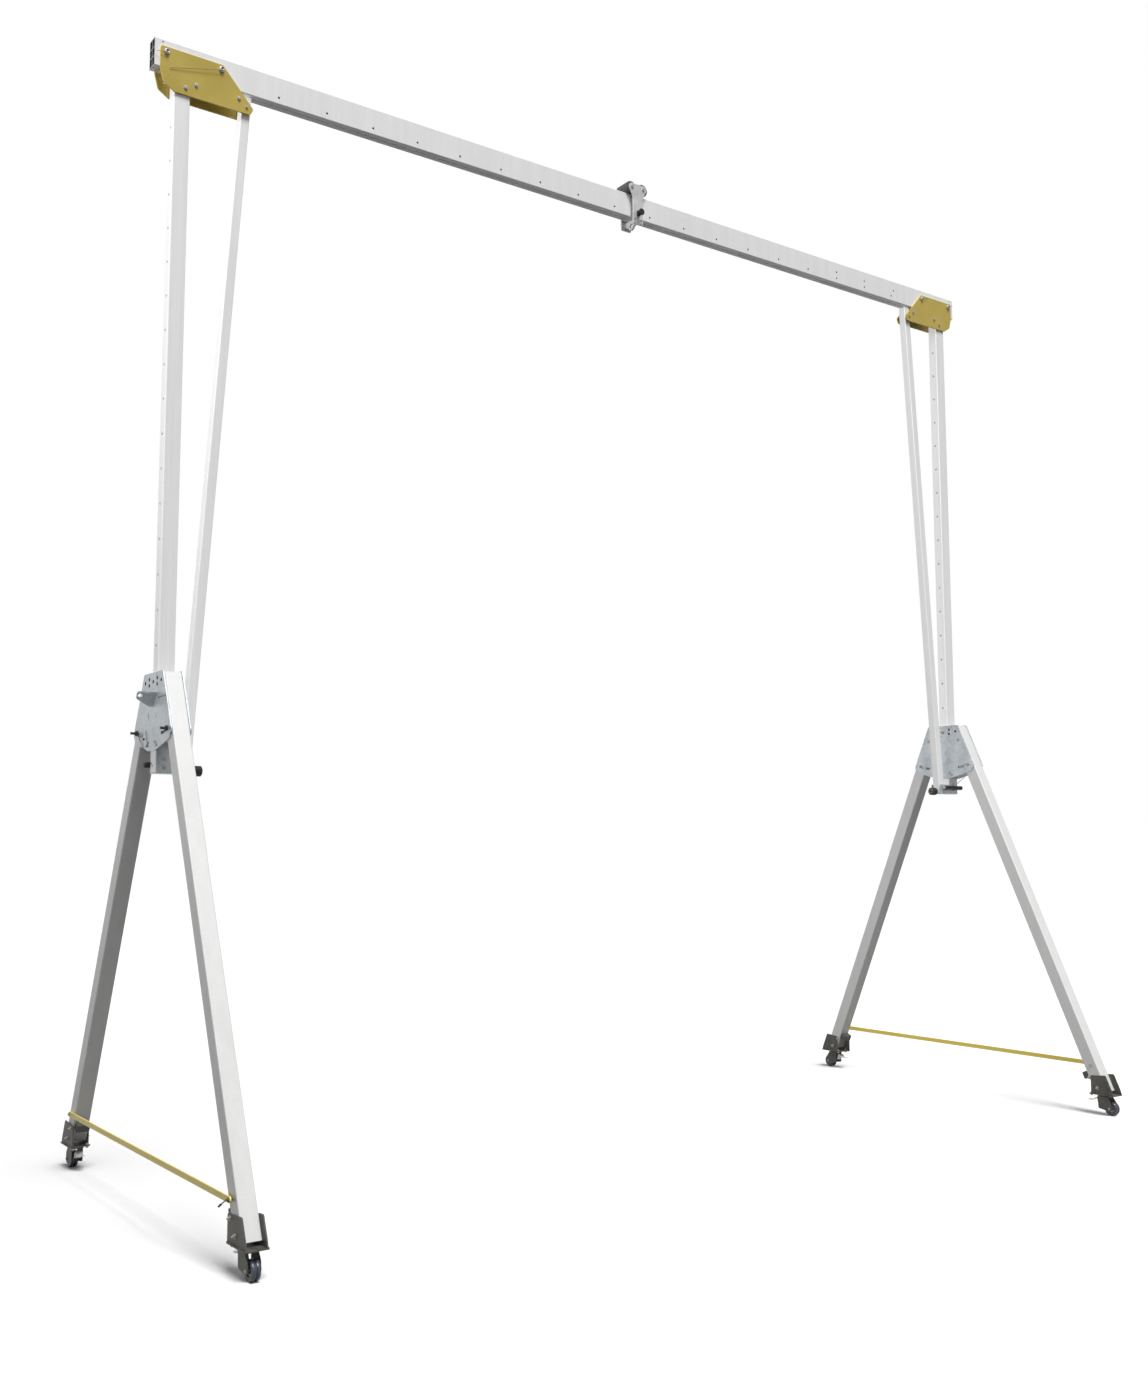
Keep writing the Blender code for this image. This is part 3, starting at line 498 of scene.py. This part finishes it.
# Each wire's end, from its pin: along the beam, and down.
wire_ends = {("left", "outer"): (-0.047, 0.003), ("left", "inner"): (-0.245, 0.064),
             ("right", "outer"): (0.046, -0.006), ("right", "inner"): (0.052, -0.006)}
wire_rise = {"left": -0.008, "right": 0.006}
pin_wire_radius = 0.0012
pin_clearance = 0.0003
grip_reach = 0.0106
for side in sides:
    for place in ("outer", "inner"):
        node = f"head_pin_{side}_{place}"
        low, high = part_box(node)
        spot = Vector(((low.x + high.x) / 2, 0, (low.z + high.z) / 2))
        front = -head_half - pin_clearance
        profile = [(high.y, 0), (high.y, 0.006), (high.y - 0.002, 0.008), (front, 0.008),
                   (front, 0.0134), (front - 0.002, 0.0138), (front - 0.005, 0.0128),
                   (front - 0.0068, 0.0096), (front - 0.0125, 0.0094), (front - 0.0137, 0.0082),
                   (front - 0.0132, 0.0062), (front - 0.0040, 0.0056), (front - 0.0035, 0)]
        pin = turned(f"quick_pin_{side}_{place}", spot, (0, 1, 0), profile)
        fitted(pin, zinc, node)
        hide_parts(node)
        along_x, fall = wire_ends[side, place]
        start = spot + Vector((0, front - grip_reach, wire_rise[side]))
        bend = Vector((along_x * 0.45, 0.002, -fall * 0.45))
        tail = [start, start + bend, start + Vector((along_x, 0.007, -fall))]
        fitted(wire(f"pin_wire_{side}_{place}", tail, pin_wire_radius), spring_steel, node)


# ------------------------------------------------------------------ A-frame plates
# Hot-dip galvanised steel plates over the tops of the legs, spangled blue
# grey. The outer ones carry a bent-out lifting tab with its relief cut.
def galvanising(name, holes=None):
    """Spangled zinc with cloudy stains, painted shade on the walls of cut holes, and the same dark
    tone on the tab's sheared edge.
    """
    shade_and_edge_tone, shade_and_edge_cover = (0.03, 0.033, 0.036), 0.93
    finish = Finish(bpy.data.materials.new(name), "galvanised")
    crystals = finish.node("ShaderNodeTexVoronoi", {"feature": "F1"},
                           {"Vector": finish.place(), "Scale": 85.0}, "Color")
    facet = finish.node("ShaderNodeSeparateColor", {}, (crystals,))
    stain = finish.noise(finish.place(), 9.0, 5.0)
    grain = finish.noise(finish.place(), 300.0, 2.0)
    shade = facet * 0.22 + stain * 0.78
    tone = finish.mixed(finish.ranged(shade, 0.28, 0.66, 0.0, 1.0),
                        (0.38, 0.412, 0.435), (0.56, 0.595, 0.615))
    # Painted shade on the hole walls, and the same dark tone on the tab's sheared edge.
    if holes:
        tone = finish.mixed(holes(finish) * shade_and_edge_cover, tone, shade_and_edge_tone)
    return finish.surface(tone, finish.ranged(shade, 0.2, 0.8, 0.32, 0.48), 0.38,
                          grain * 0.6 + facet * 0.1, 0.00015)


upright_centre = (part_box("upright_left")[0].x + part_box("upright_left")[1].x) / -2
plate_face = 0.0458


def plate_holes(finish):
    """Where the dark tone goes: the walls of the cut holes, as painted shade, and the tab's sheared
    upper edge.
    """
    raked_side, raked_top = 0.4515, 2.528
    lower_edge, lower_tip = 0.262, 1.954
    level_top, flank = 2.283, 0.5
    sheared_cover = 0.85
    normal = finish.node("ShaderNodeTexCoord", output="Normal")
    across, normal_y, normal_z = finish.split(normal)
    x, y, z = finish.split(finish.place())
    y = abs(y)
    below_sides = (z + y * (1 / raked_side) < raked_top) * (z < level_top)
    inside = below_sides * (z - y * lower_edge > lower_tip)
    outboard = abs(abs(x) - upright_centre)
    walls = inside * (abs(across) < flank) * (outboard < plate_face + 0.0003)
    sheared = (normal_z > flank) * (normal_y * x > 0.0) * (outboard > plate_face + 0.001)
    return walls.maths("MAXIMUM", walls, sheared * sheared_cover)


cut_edge = 0.0010
galvanised = galvanising("galvanised")
galvanised_plate = galvanising("galvanised_plate", plate_holes)
for side in sides:
    for face in ("outer", "inner"):
        node = f"frame_plate_{side}_{face}"
        refined(node, f"{node}_galvanised", cut_edge, galvanised_plate, f"a_frame_{side}")


# ------------------------------------------------------------------ A-frame fixings
# Nuts of the legs' pivots on the inner plates, flush outside, and two pairs of
# small bolts near the bottom that tie the plates together, all zinc plated.
def frame_spot(sign, x, y, z):
    """A place in an A-frame's own axes; negative x is outboard."""
    return Vector((sign * (upright_centre - x), -sign * y, z))


pivot_y, pivot_z = 0.1178, 2.200
small_bolts = [(-0.045, 1.990), (-0.062, 1.978), (0.045, 1.990), (0.062, 1.978)]
# Widths across flats and heights.
pivot_nut_size, small_bolt_size = (0.012, 0.006), (0.010, 0.005)
for side, sign in sides.items():
    bolts = []
    for y in (-pivot_y, pivot_y):
        seat = frame_spot(sign, plate_face, y, pivot_z)
        bolts += hexagon(seat, (-sign, 0, 0), *pivot_nut_size)
    for y, z in small_bolts:
        spot = frame_spot(sign, 0, y, z)
        bolts += through_bolt(spot, (-sign, 0, 0), plate_face, *small_bolt_size)
    fitted(joined(f"frame_bolts_{side}", bolts), zinc, f"a_frame_{side}")


# ------------------------------------------------------------------ leg clamps
# Each leg's clamp stud runs in the curved slot of the plates and is tightened
# by a black flanged knob with a long neck; its nut runs in the inner plate's slot.
def middle(node):
    """The middle of a solid's box."""
    low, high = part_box(node)
    return (low + high) / 2


black = mottled("black_moulding", "black_plastic", (30.0, 4.0),
                ((0.008, 0.008, 0.009), (0.019, 0.019, 0.020)), (0.42, 0.58), 0.0, 0.0002,
                (900.0, 2.0), 0.25)
nut_clearance = 0.0004
clamp_nut_size = (0.014, 0.008)
clamp_profile = [(-0.0070, 0), (-0.0070, 0.0058), (0.0004, 0.0058), (0.0004, 0.0118),
                 (0.0022, 0.0122), (0.0078, 0.0116), (0.0096, 0.0090), (0.0104, 0.0058),
                 (0.0240, 0.0052), (0.0256, 0.0066), (0.0286, 0.0066), (0.0298, 0.0052),
                 (0.0300, 0)]
for side, sign in sides.items():
    for end in ends:
        node = f"leg_lock_{side}_{end}"
        centre = middle(node)
        face = Vector((sign * (upright_centre + plate_face), centre.y, centre.z))
        knob = turned(f"clamp_knob_{side}_{end}", face, (sign, 0, 0), clamp_profile)
        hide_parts(node)
        fitted(knob, black, node)
        nut_x = sign * (upright_centre - plate_face - nut_clearance)
        nut_face = Vector((nut_x, centre.y, centre.z))
        nut = hexagon(nut_face, (-sign, 0, 0), *clamp_nut_size)
        fitted(joined(f"clamp_nut_{side}_{end}", nut), zinc, f"leg_{side}_{end}")


# ------------------------------------------------------------------ wire keepers
# Bent from stiff spring wire and held by the outer plates' lower bolts: a long
# slanting stay from one clamp to below the plate, and a short hook beside it.
# A small black stop stands under the clamp.
def plate_wire(name, sign, side, spots, radius):
    """A wire drawn in an A-frame's own axes, lifted off its outer plate."""
    gap = 0.0006
    out = plate_face + radius + gap
    places = [frame_spot(sign, -(out + lift), y, z) for lift, y, z in spots]
    fitted(wire(f"{name}_{side}", places, radius), spring_steel, f"a_frame_{side}")


# Each point's lift off the plate, then its place across and up.
stay = [(0.003, 0.171, 2.034), (0.003, 0.154, 2.021), (0.001, 0.090, 1.966),
        (0.002, 0.029, 1.927), (0.003, -0.037, 1.886)]
hook = [(0.000, 0.072, 2.044), (0.001, 0.062, 2.022), (0.001, 0.050, 1.998), (0.000, 0.040, 1.972)]
stay_radius, hook_radius = 0.0017, 0.0014
stop_y, stop_z, stop_radius, stop_length = 0.097, 2.009, 0.0055, 0.005
for side, sign in sides.items():
    plate_wire("stay_wire", sign, side, stay, stay_radius)
    plate_wire("hook_wire", sign, side, hook, hook_radius)
    stop_place = frame_spot(sign, -plate_face, stop_y, stop_z)
    stop = drum(stop_place, (sign, 0, 0), stop_radius, stop_length, 20)
    fitted(named(eased(stop, 0.001), f"clamp_stop_{side}"), black, f"a_frame_{side}")


# ------------------------------------------------------------------ height pins
# A flanged steel pin with a necked grip, pushed through the inner plate into
# the upright's ladder of holes.
height_profile = [(-0.007, 0), (-0.007, 0.0058), (0.0004, 0.0058), (0.0004, 0.0118),
                  (0.0020, 0.0120), (0.0082, 0.0105), (0.0088, 0.0056), (0.0130, 0.0052),
                  (0.0150, 0.0060), (0.0175, 0.0060), (0.0184, 0.0040), (0.0185, 0)]
for side, sign in sides.items():
    node = f"height_pin_{side}"
    centre = middle(node)
    face = Vector((sign * (upright_centre - plate_face), centre.y, centre.z))
    pin = turned(f"height_pin_grip_{side}", face, (-sign, 0, 0), height_profile)
    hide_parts(node)
    fitted(pin, zinc, node)


# ------------------------------------------------------------------ brace shoes and knobs
# Folded galvanised channels bolted under the uprights, each with a rubber grip
# bar at one side. A ribbed black drum, with thin rings in its end, is screwed in
# by hand to clamp the foot of the brace.
shoe_half = 0.0368
shoe_bolt_spots = ((2.5925, 1.917), (2.5925, 1.880), (2.498, 1.893))
shoe_bolt_size = (0.011, 0.0055)
grip_x, grip_y, grip_z = 2.4870, 0.0508, 1.894
grip_rib = 0.0118
ribs = []
for k in range(13):
    ribs += [(0.008 + k * grip_rib, 0.0122), (0.0132 + k * grip_rib, 0.0132)]
sleeve_profile = [(0, 0), (0, 0.0095), (0.002, 0.0120), (0.005, 0.0132)] + ribs
sleeve_profile += [(0.1625, 0.0122), (0.1655, 0.0095), (0.1660, 0)]
knob_rib = 0.0066
grooves = []
for k in range(6):
    grooves += [(0.0125 + k * knob_rib, 0.0220), (0.0145 + k * knob_rib, 0.0235),
                (0.0172 + k * knob_rib, 0.0235)]
drum_profile = [(0, 0), (0, 0.0060), (0.0066, 0.0060), (0.0068, 0.0150), (0.0085, 0.0205)]
drum_profile += grooves
drum_profile += [(0.0520, 0.0215), (0.0545, 0.0180), (0.0558, 0.0120), (0.0550, 0.0050),
                 (0.0550, 0)]
ring_spots = ((0.0534, 0.0192), (0.0553, 0.0125))
for side, sign in sides.items():
    shoe = f"brace_shoe_{side}"
    refined(shoe, f"{shoe}_folded", cut_edge, galvanised, "beam_assembly")
    bolts = []
    for x, z in shoe_bolt_spots:
        for way in ends.values():
            seat = Vector((sign * x, way * shoe_half, z))
            bolts += hexagon(seat, (0, way, 0), *shoe_bolt_size)
    fitted(joined(f"shoe_bolts_{side}", bolts), zinc, "beam_assembly")

    sleeve_start = Vector((sign * grip_x, -sign * grip_y, grip_z))
    sleeve = turned(f"grip_sleeve_{side}", sleeve_start, (sign, 0, 0), sleeve_profile)
    fitted(sleeve, black, "beam_assembly")

    node = f"brace_knob_{side}"
    low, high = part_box(node)
    start = Vector((high.x if sign > 0 else low.x, 0, (low.z + high.z) / 2))
    knob = turned(f"{node}_ribbed", start, (-sign, 0, 0), drum_profile, 40)
    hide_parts(node)
    fitted(knob, black, node)
    rings = []
    for reach, radius in ring_spots:
        rings.append(turned("ring", start, (-sign, 0, 0),
                            [(reach, radius), (reach + 0.0008, radius - 0.0004),
                             (reach + 0.0008, radius - 0.0022), (reach, radius - 0.0026),
                             (reach - 0.002, radius - 0.0013), (reach, radius)], 40))
    fitted(joined(f"brace_knob_rings_{side}", rings), zinc, node)


# ------------------------------------------------------------------ tie bars
# Flat steel bars across the feet of the legs, powder coated yellow, bolted to
# one leg and pinned to the other by a quick pin with a small cam lever.
pale_yellow = mottled("pale_yellow_coat", "yellow_paint", (9.0, 4.0),
                      ((0.90, 0.69, 0.09), (0.96, 0.80, 0.18)), (0.34, 0.46), 0.0, 0.0003,
                      (420.0, 2.0))
bar_end = 0.012
tie_bolt_size = (0.013, 0.0062)
pin_profile = [(-0.015, 0), (-0.015, 0.0048), (0.0003, 0.0048), (0.0003, 0.0085),
               (0.0020, 0.0090), (0.0040, 0.0086), (0.0062, 0.0070), (0.0070, 0.0035), (0.0072, 0)]
tip_profile = [(-0.012, 0.0027), (-0.010, 0.0040), (0.002, 0.0042), (0.004, 0.0028),
               (0.0045, 0), (-0.012, 0), (-0.012, 0.0027)]
# The lever's points, outwards from the bar and up.
lever_points = ((0.0052, 0.002), (0.014, -0.002), (0.026, -0.010), (0.036, -0.017))
lever_radius = 0.0026
for side, sign in sides.items():
    node = f"tie_bar_{side}"
    refined(node, f"{node}_coated", coated_edge, pale_yellow, node)
    bar_low, bar_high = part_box(node)
    bar_face = bar_high.x if sign > 0 else bar_low.x
    pin_node = f"tie_pin_{side}"
    centre = middle(pin_node)
    face = Vector((bar_face, centre.y, centre.z))
    pin = turned(f"tie_pin_grip_{side}", face, (sign, 0, 0), pin_profile)
    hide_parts(pin_node)
    fitted(pin, spring_steel, pin_node)
    lever = [face + Vector((sign * out, 0, up)) for out, up in lever_points]
    fitted(wire(f"tie_pin_lever_{side}", lever, lever_radius), spring_steel, pin_node)
    tip = turned(f"tie_pin_tip_{side}", lever[-1], lever[-1] - lever[-2], tip_profile, 20)
    fitted(tip, black, pin_node)
    bolt_y = bar_high.y - bar_end if sign < 0 else bar_low.y + bar_end
    bolt = hexagon(Vector((bar_face, bolt_y, centre.z)), (sign, 0, 0), *tie_bolt_size)
    fitted(joined(f"tie_bolt_{side}", bolt), zinc, node)
    leg = f"leg_{side}_rear" if sign < 0 else f"leg_{side}_front"
    leg_face = min(abs(corner.x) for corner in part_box(leg))
    nut = hexagon(Vector((sign * leg_face, bolt_y, centre.z)), (-sign, 0, 0), *tie_bolt_size)
    fitted(joined(f"tie_nut_{side}", nut), zinc, leg)


# ------------------------------------------------------------------ foot brackets
# Welded steel saddles in a dull grey-brown plating, each a base plate with two
# cheeks bolted through the foot of its leg, which carries a rubber buffer.
steel = Finish(bpy.data.materials.new("dull_steel"), "dull_steel")
mottle = steel.noise(steel.place(), 55.0, 6.0)
patches = steel.noise(steel.place(), 9.0, 3.0)
steel_tone = steel.mixed(steel.ranged(mottle * 0.6 + patches * 0.4, 0.35, 0.65, 0.0, 1.0),
                         (0.030, 0.029, 0.023), (0.112, 0.108, 0.092))
steel.surface(steel_tone, steel.ranged(mottle, 0.3, 0.7, 0.48, 0.66), 0.20, mottle, 0.0003)
leg_low, leg_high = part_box("leg_left_rear")
leg_depth = 0.078


def leg_inner_y(z):
    """How far out the inner face of a leg is at a height."""
    foot_y = leg_high.y - leg_depth / math.cos(leg_splay)
    return foot_y - (z - leg_low.z) * math.tan(leg_splay)


def cuboid(place, size, turn=(0, 0, 0)):
    """A plain block, turned about its own middle."""
    bpy.ops.object.select_all(action="DESELECT")
    bpy.ops.mesh.primitive_cube_add(size=1, location=place, rotation=turn, scale=size)
    bpy.ops.object.transform_apply(location=True, rotation=True, scale=True)
    return bpy.context.object


rubber = mottled("grey_rubber", "charcoal_plastic", (40.0, 4.0),
                 ((0.050, 0.050, 0.046), (0.085, 0.084, 0.078)), (0.55, 0.70), 0.0, 0.0002)
bracket_edge = 0.0010
cheek_face = 0.0375 + 0.0063
# The cheeks' bolts, out and up, then the nuts that hold the castor's plate.
cheek_bolt_spots = ((0.984, 0.203), (1.034, 0.150))
cheek_bolt_size = (0.013, 0.008)
stub_start, stub_radius, stub_length, stub_edge = 0.007, 0.0040, 0.007, 0.0007
nut_reach, nut_y, nut_z, plate_grip = 0.036, 0.990, 0.1122, 0.0058
lower_nut_size, upper_nut_size = (0.012, 0.009), (0.012, 0.007)
buffer_z, buffer_inset = 0.213, 0.0195
buffer_size, buffer_edge = (0.060, 0.042, 0.040), 0.004
for side, sign in sides.items():
    for end, way in ends.items():
        tail = f"{side}_{end}"
        body = f"leg_{tail}"
        foot_x = sign * upright_centre
        bracket = f"foot_bracket_{tail}"
        refined(bracket, f"{bracket}_welded", bracket_edge, steel, body)
        bolts = []
        for y, z in cheek_bolt_spots:
            spot = Vector((foot_x, way * y, z))
            bolts += through_bolt(spot, (-1, 0, 0), cheek_face, *cheek_bolt_size)
            for out in (-1, 1):
                stub_place = spot + Vector((out * (cheek_face + stub_start), 0, 0))
                stub = drum(stub_place, (out, 0, 0), stub_radius, stub_length, 20)
                bolts.append(eased(stub, stub_edge))
        fitted(joined(f"foot_bolts_{tail}", bolts), zinc, body)
        nuts = []
        for out in (-nut_reach, nut_reach):
            seat = Vector((foot_x + out, way * nut_y, nut_z))
            nuts += hexagon(seat, (0, 0, -1), *lower_nut_size)
            nuts += hexagon(seat + Vector((0, 0, plate_grip)), (0, 0, 1), *upper_nut_size)
        fitted(joined(f"foot_nuts_{tail}", nuts), zinc, body)
        buffer_place = (foot_x, way * (leg_inner_y(buffer_z) - buffer_inset), buffer_z)
        buffer = cuboid(buffer_place, buffer_size, (way * leg_splay, 0, 0))
        eased(named(buffer, f"foot_buffer_{tail}"), buffer_edge, 3)
        fitted(buffer, rubber, body)


# ------------------------------------------------------------------ castors
# Swivel forks of pressed steel on a ball race, with twin-lobed polyurethane
# wheels on a grey hub, a bolted axle and a bent brake pedal.
bright_zinc = mottled("bright_zinc", "zinc", (120.0, 3.0),
                      ((0.58, 0.575, 0.56), (0.74, 0.735, 0.72)), (0.26, 0.40), 0.35, 0.0001)
tyre = mottled("castor_tread", "tyre", (70.0, 5.0),
               ((0.022, 0.026, 0.042), (0.060, 0.068, 0.098)), (0.26, 0.42), 0.0, 0.0002)
pressed_edge, pedal_edge = 0.0008, 0.0005
swivel_y = 1.045
cap_start = 0.0107
axle_half, axle_bolt_size = 0.0273, (0.0095, 0.0045)
wheel_half = [(0.0125, 0.0056), (0.0178, 0.0060), (0.0178, 0.0095), (0.0130, 0.0105),
              (0.0105, 0.0195), (0.0130, 0.0212), (0.0175, 0.0215), (0.0180, 0.0240),
              (0.0180, 0.0330), (0.0165, 0.0372), (0.0125, 0.0395), (0.0080, 0.0398),
              (0.0035, 0.0385), (0.0015, 0.0350)]
wheel_profile = wheel_half + [(-x, r) for x, r in wheel_half[::-1]] + [wheel_half[0]]
cap_profile = [(0, 0.0098), (0, 0.0192), (0.0012, 0.0196), (0.0022, 0.0186),
               (0.0018, 0.0130), (0.0022, 0.0106), (0, 0.0098)]
race_profile = [(0.1045, 0.0222), (0.1045, 0.0275), (0.1062, 0.0288), (0.1095, 0.0288),
                (0.1112, 0.0275), (0.1112, 0.0222), (0.1045, 0.0222)]
for side, sign in sides.items():
    for end, way in ends.items():
        tail = f"{side}_{end}"
        body = f"castor_{tail}"
        fork = f"castor_fork_{tail}"
        refined(fork, f"{fork}_pressed", pressed_edge, steel, body)
        wheel_node = f"castor_wheel_{tail}"
        centre = middle(wheel_node)
        wheel = turned(f"castor_tread_{tail}", centre, (1, 0, 0), wheel_profile, 48)
        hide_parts(wheel_node)
        fitted(wheel, tyre, wheel_node)
        caps = []
        for way_x in (-1, 1):
            cap_place = centre + Vector((way_x * cap_start, 0, 0))
            caps.append(turned("cap", cap_place, (way_x, 0, 0), cap_profile, 32))
        fitted(joined(f"castor_hub_{tail}", caps), zinc, wheel_node)
        axle = through_bolt(centre, (-1, 0, 0), axle_half, *axle_bolt_size)
        fitted(joined(f"castor_axle_{tail}", axle), zinc, body)
        swivel = Vector((sign * upright_centre, way * swivel_y, 0))
        race = turned(f"castor_race_{tail}", swivel, (0, 0, 1), race_profile, 40)
        fitted(race, steel, body)
        pedal_node = f"brake_pedal_{tail}"
        refined(pedal_node, f"{pedal_node}_bent", pedal_edge, bright_zinc, pedal_node)


# ------------------------------------------------------------------ trolley plates
# Two plated side plates that hang from the axles of the rollers, bolted
# together underneath through the plate that forms the lifting eye.
plated = Finish(bpy.data.materials.new("plated_steel"), "galvanised")
haze = plated.noise(plated.place(), 14.0, 5.0)
fleck = plated.noise(plated.place(), 240.0, 2.0)
plated_tone = plated.mixed(plated.ranged(haze, 0.3, 0.7, 0.0, 1.0), grey(0.47), grey(0.63))
plated.surface(plated_tone, plated.ranged(haze, 0.3, 0.7, 0.36, 0.50), 0.25, fleck, 0.0001)
plated_edge = 0.0008
for node in ("trolley_plate_front", "trolley_plate_rear", "trolley_eye"):
    refined(node, f"{node}_plated", plated_edge, plated, "trolley")
plate_low, plate_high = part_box("trolley_plate_front")
trolley_x = (plate_low.x + plate_high.x) / 2
trolley_half = -plate_low.y
trolley_bolt_size = (0.0085, 0.0045)
bolts = []
for x in (-0.022, 0.022):
    for z in (5.000, 5.022):
        for way in ends.values():
            seat = Vector((trolley_x + x, way * trolley_half, z))
            bolts += hexagon(seat, (0, way, 0), *trolley_bolt_size)
fitted(joined("trolley_bolts", bolts), zinc, "trolley")


# ------------------------------------------------------------------ trolley rollers
# Turned nylon rollers with stepped ends that run on the top of the beam, each on
# a plated axle that is headed outside both plates.
charcoal = mottled("charcoal_nylon", "charcoal_plastic", (22.0, 4.0),
                   ((0.026, 0.027, 0.029), (0.052, 0.053, 0.056)), (0.50, 0.66), 0.0, 0.0002,
                   (500.0, 2.0), stretch=(1, 12, 1))
for side in sides:
    node = f"trolley_roller_{side}"
    centre = middle(node)
    half_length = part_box(node)[1].y - centre.y
    profile = [(0.0, 0.0350), (0.0440, 0.0350), (0.0475, 0.0335), (0.0478, 0.0310),
               (0.0495, 0.0300), (half_length, 0.0280), (half_length, 0.0090), (0.0470, 0.0080),
               (0.0470, 0.0066)]
    outline = [(-y, r) for y, r in profile[:0:-1]] + profile
    roller = turned(f"{node}_nylon", centre, (0, 1, 0), outline + [outline[0]], 48)
    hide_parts(node)
    fitted(roller, charcoal, node)
    axle_node = f"trolley_axle_{side}"
    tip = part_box(axle_node)[0].y
    axle_profile = [(tip, 0), (tip, 0.0080), (tip + 0.0015, 0.0094), (tip + 0.0068, 0.0094),
                    (tip + 0.0070, 0.0060)]
    axle_profile += [(-y, r) for y, r in axle_profile[::-1]]
    axle = turned(f"{axle_node}_turned", centre, (0, 1, 0), axle_profile)
    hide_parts(axle_node)
    fitted(axle, zinc, "trolley")


# ------------------------------------------------------------------ trolley lock
# A spring plunger through the front plate with a black moulded disc to pull it
# by, in a small black block that is screwed to the plate.
lock_node = "trolley_lock_knob"
low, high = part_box(lock_node)
centre = Vector(((low.x + high.x) / 2, 0, (low.z + high.z) / 2))
plate_front = trolley_half + pin_clearance
profile = [(-high.y, 0), (-high.y, 0.0038), (0.036 - high.y, 0.0048), (plate_front, 0.0048)]
profile += [(plate_front + reach, radius) for reach, radius in (
    (0.0110, 0.0044), (0.0260, 0.0044), (0.0268, 0.0120), (0.0276, 0.0176), (0.0288, 0.0185),
    (0.0338, 0.0185), (0.0358, 0.0172), (0.0364, 0.0110), (0.0356, 0.0060), (0.0356, 0))]
knob = turned("trolley_knob_disc", centre, (0, -1, 0), profile, 40)
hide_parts(lock_node)
fitted(knob, black, "trolley_lock")
block_size, block_edge, block_reach = (0.020, 0.0118, 0.029), 0.0018, 0.0062
block = cuboid(centre - Vector((0, plate_front + block_reach, 0)), block_size)
eased(named(block, "trolley_knob_block"), block_edge)
fitted(block, black, "trolley")
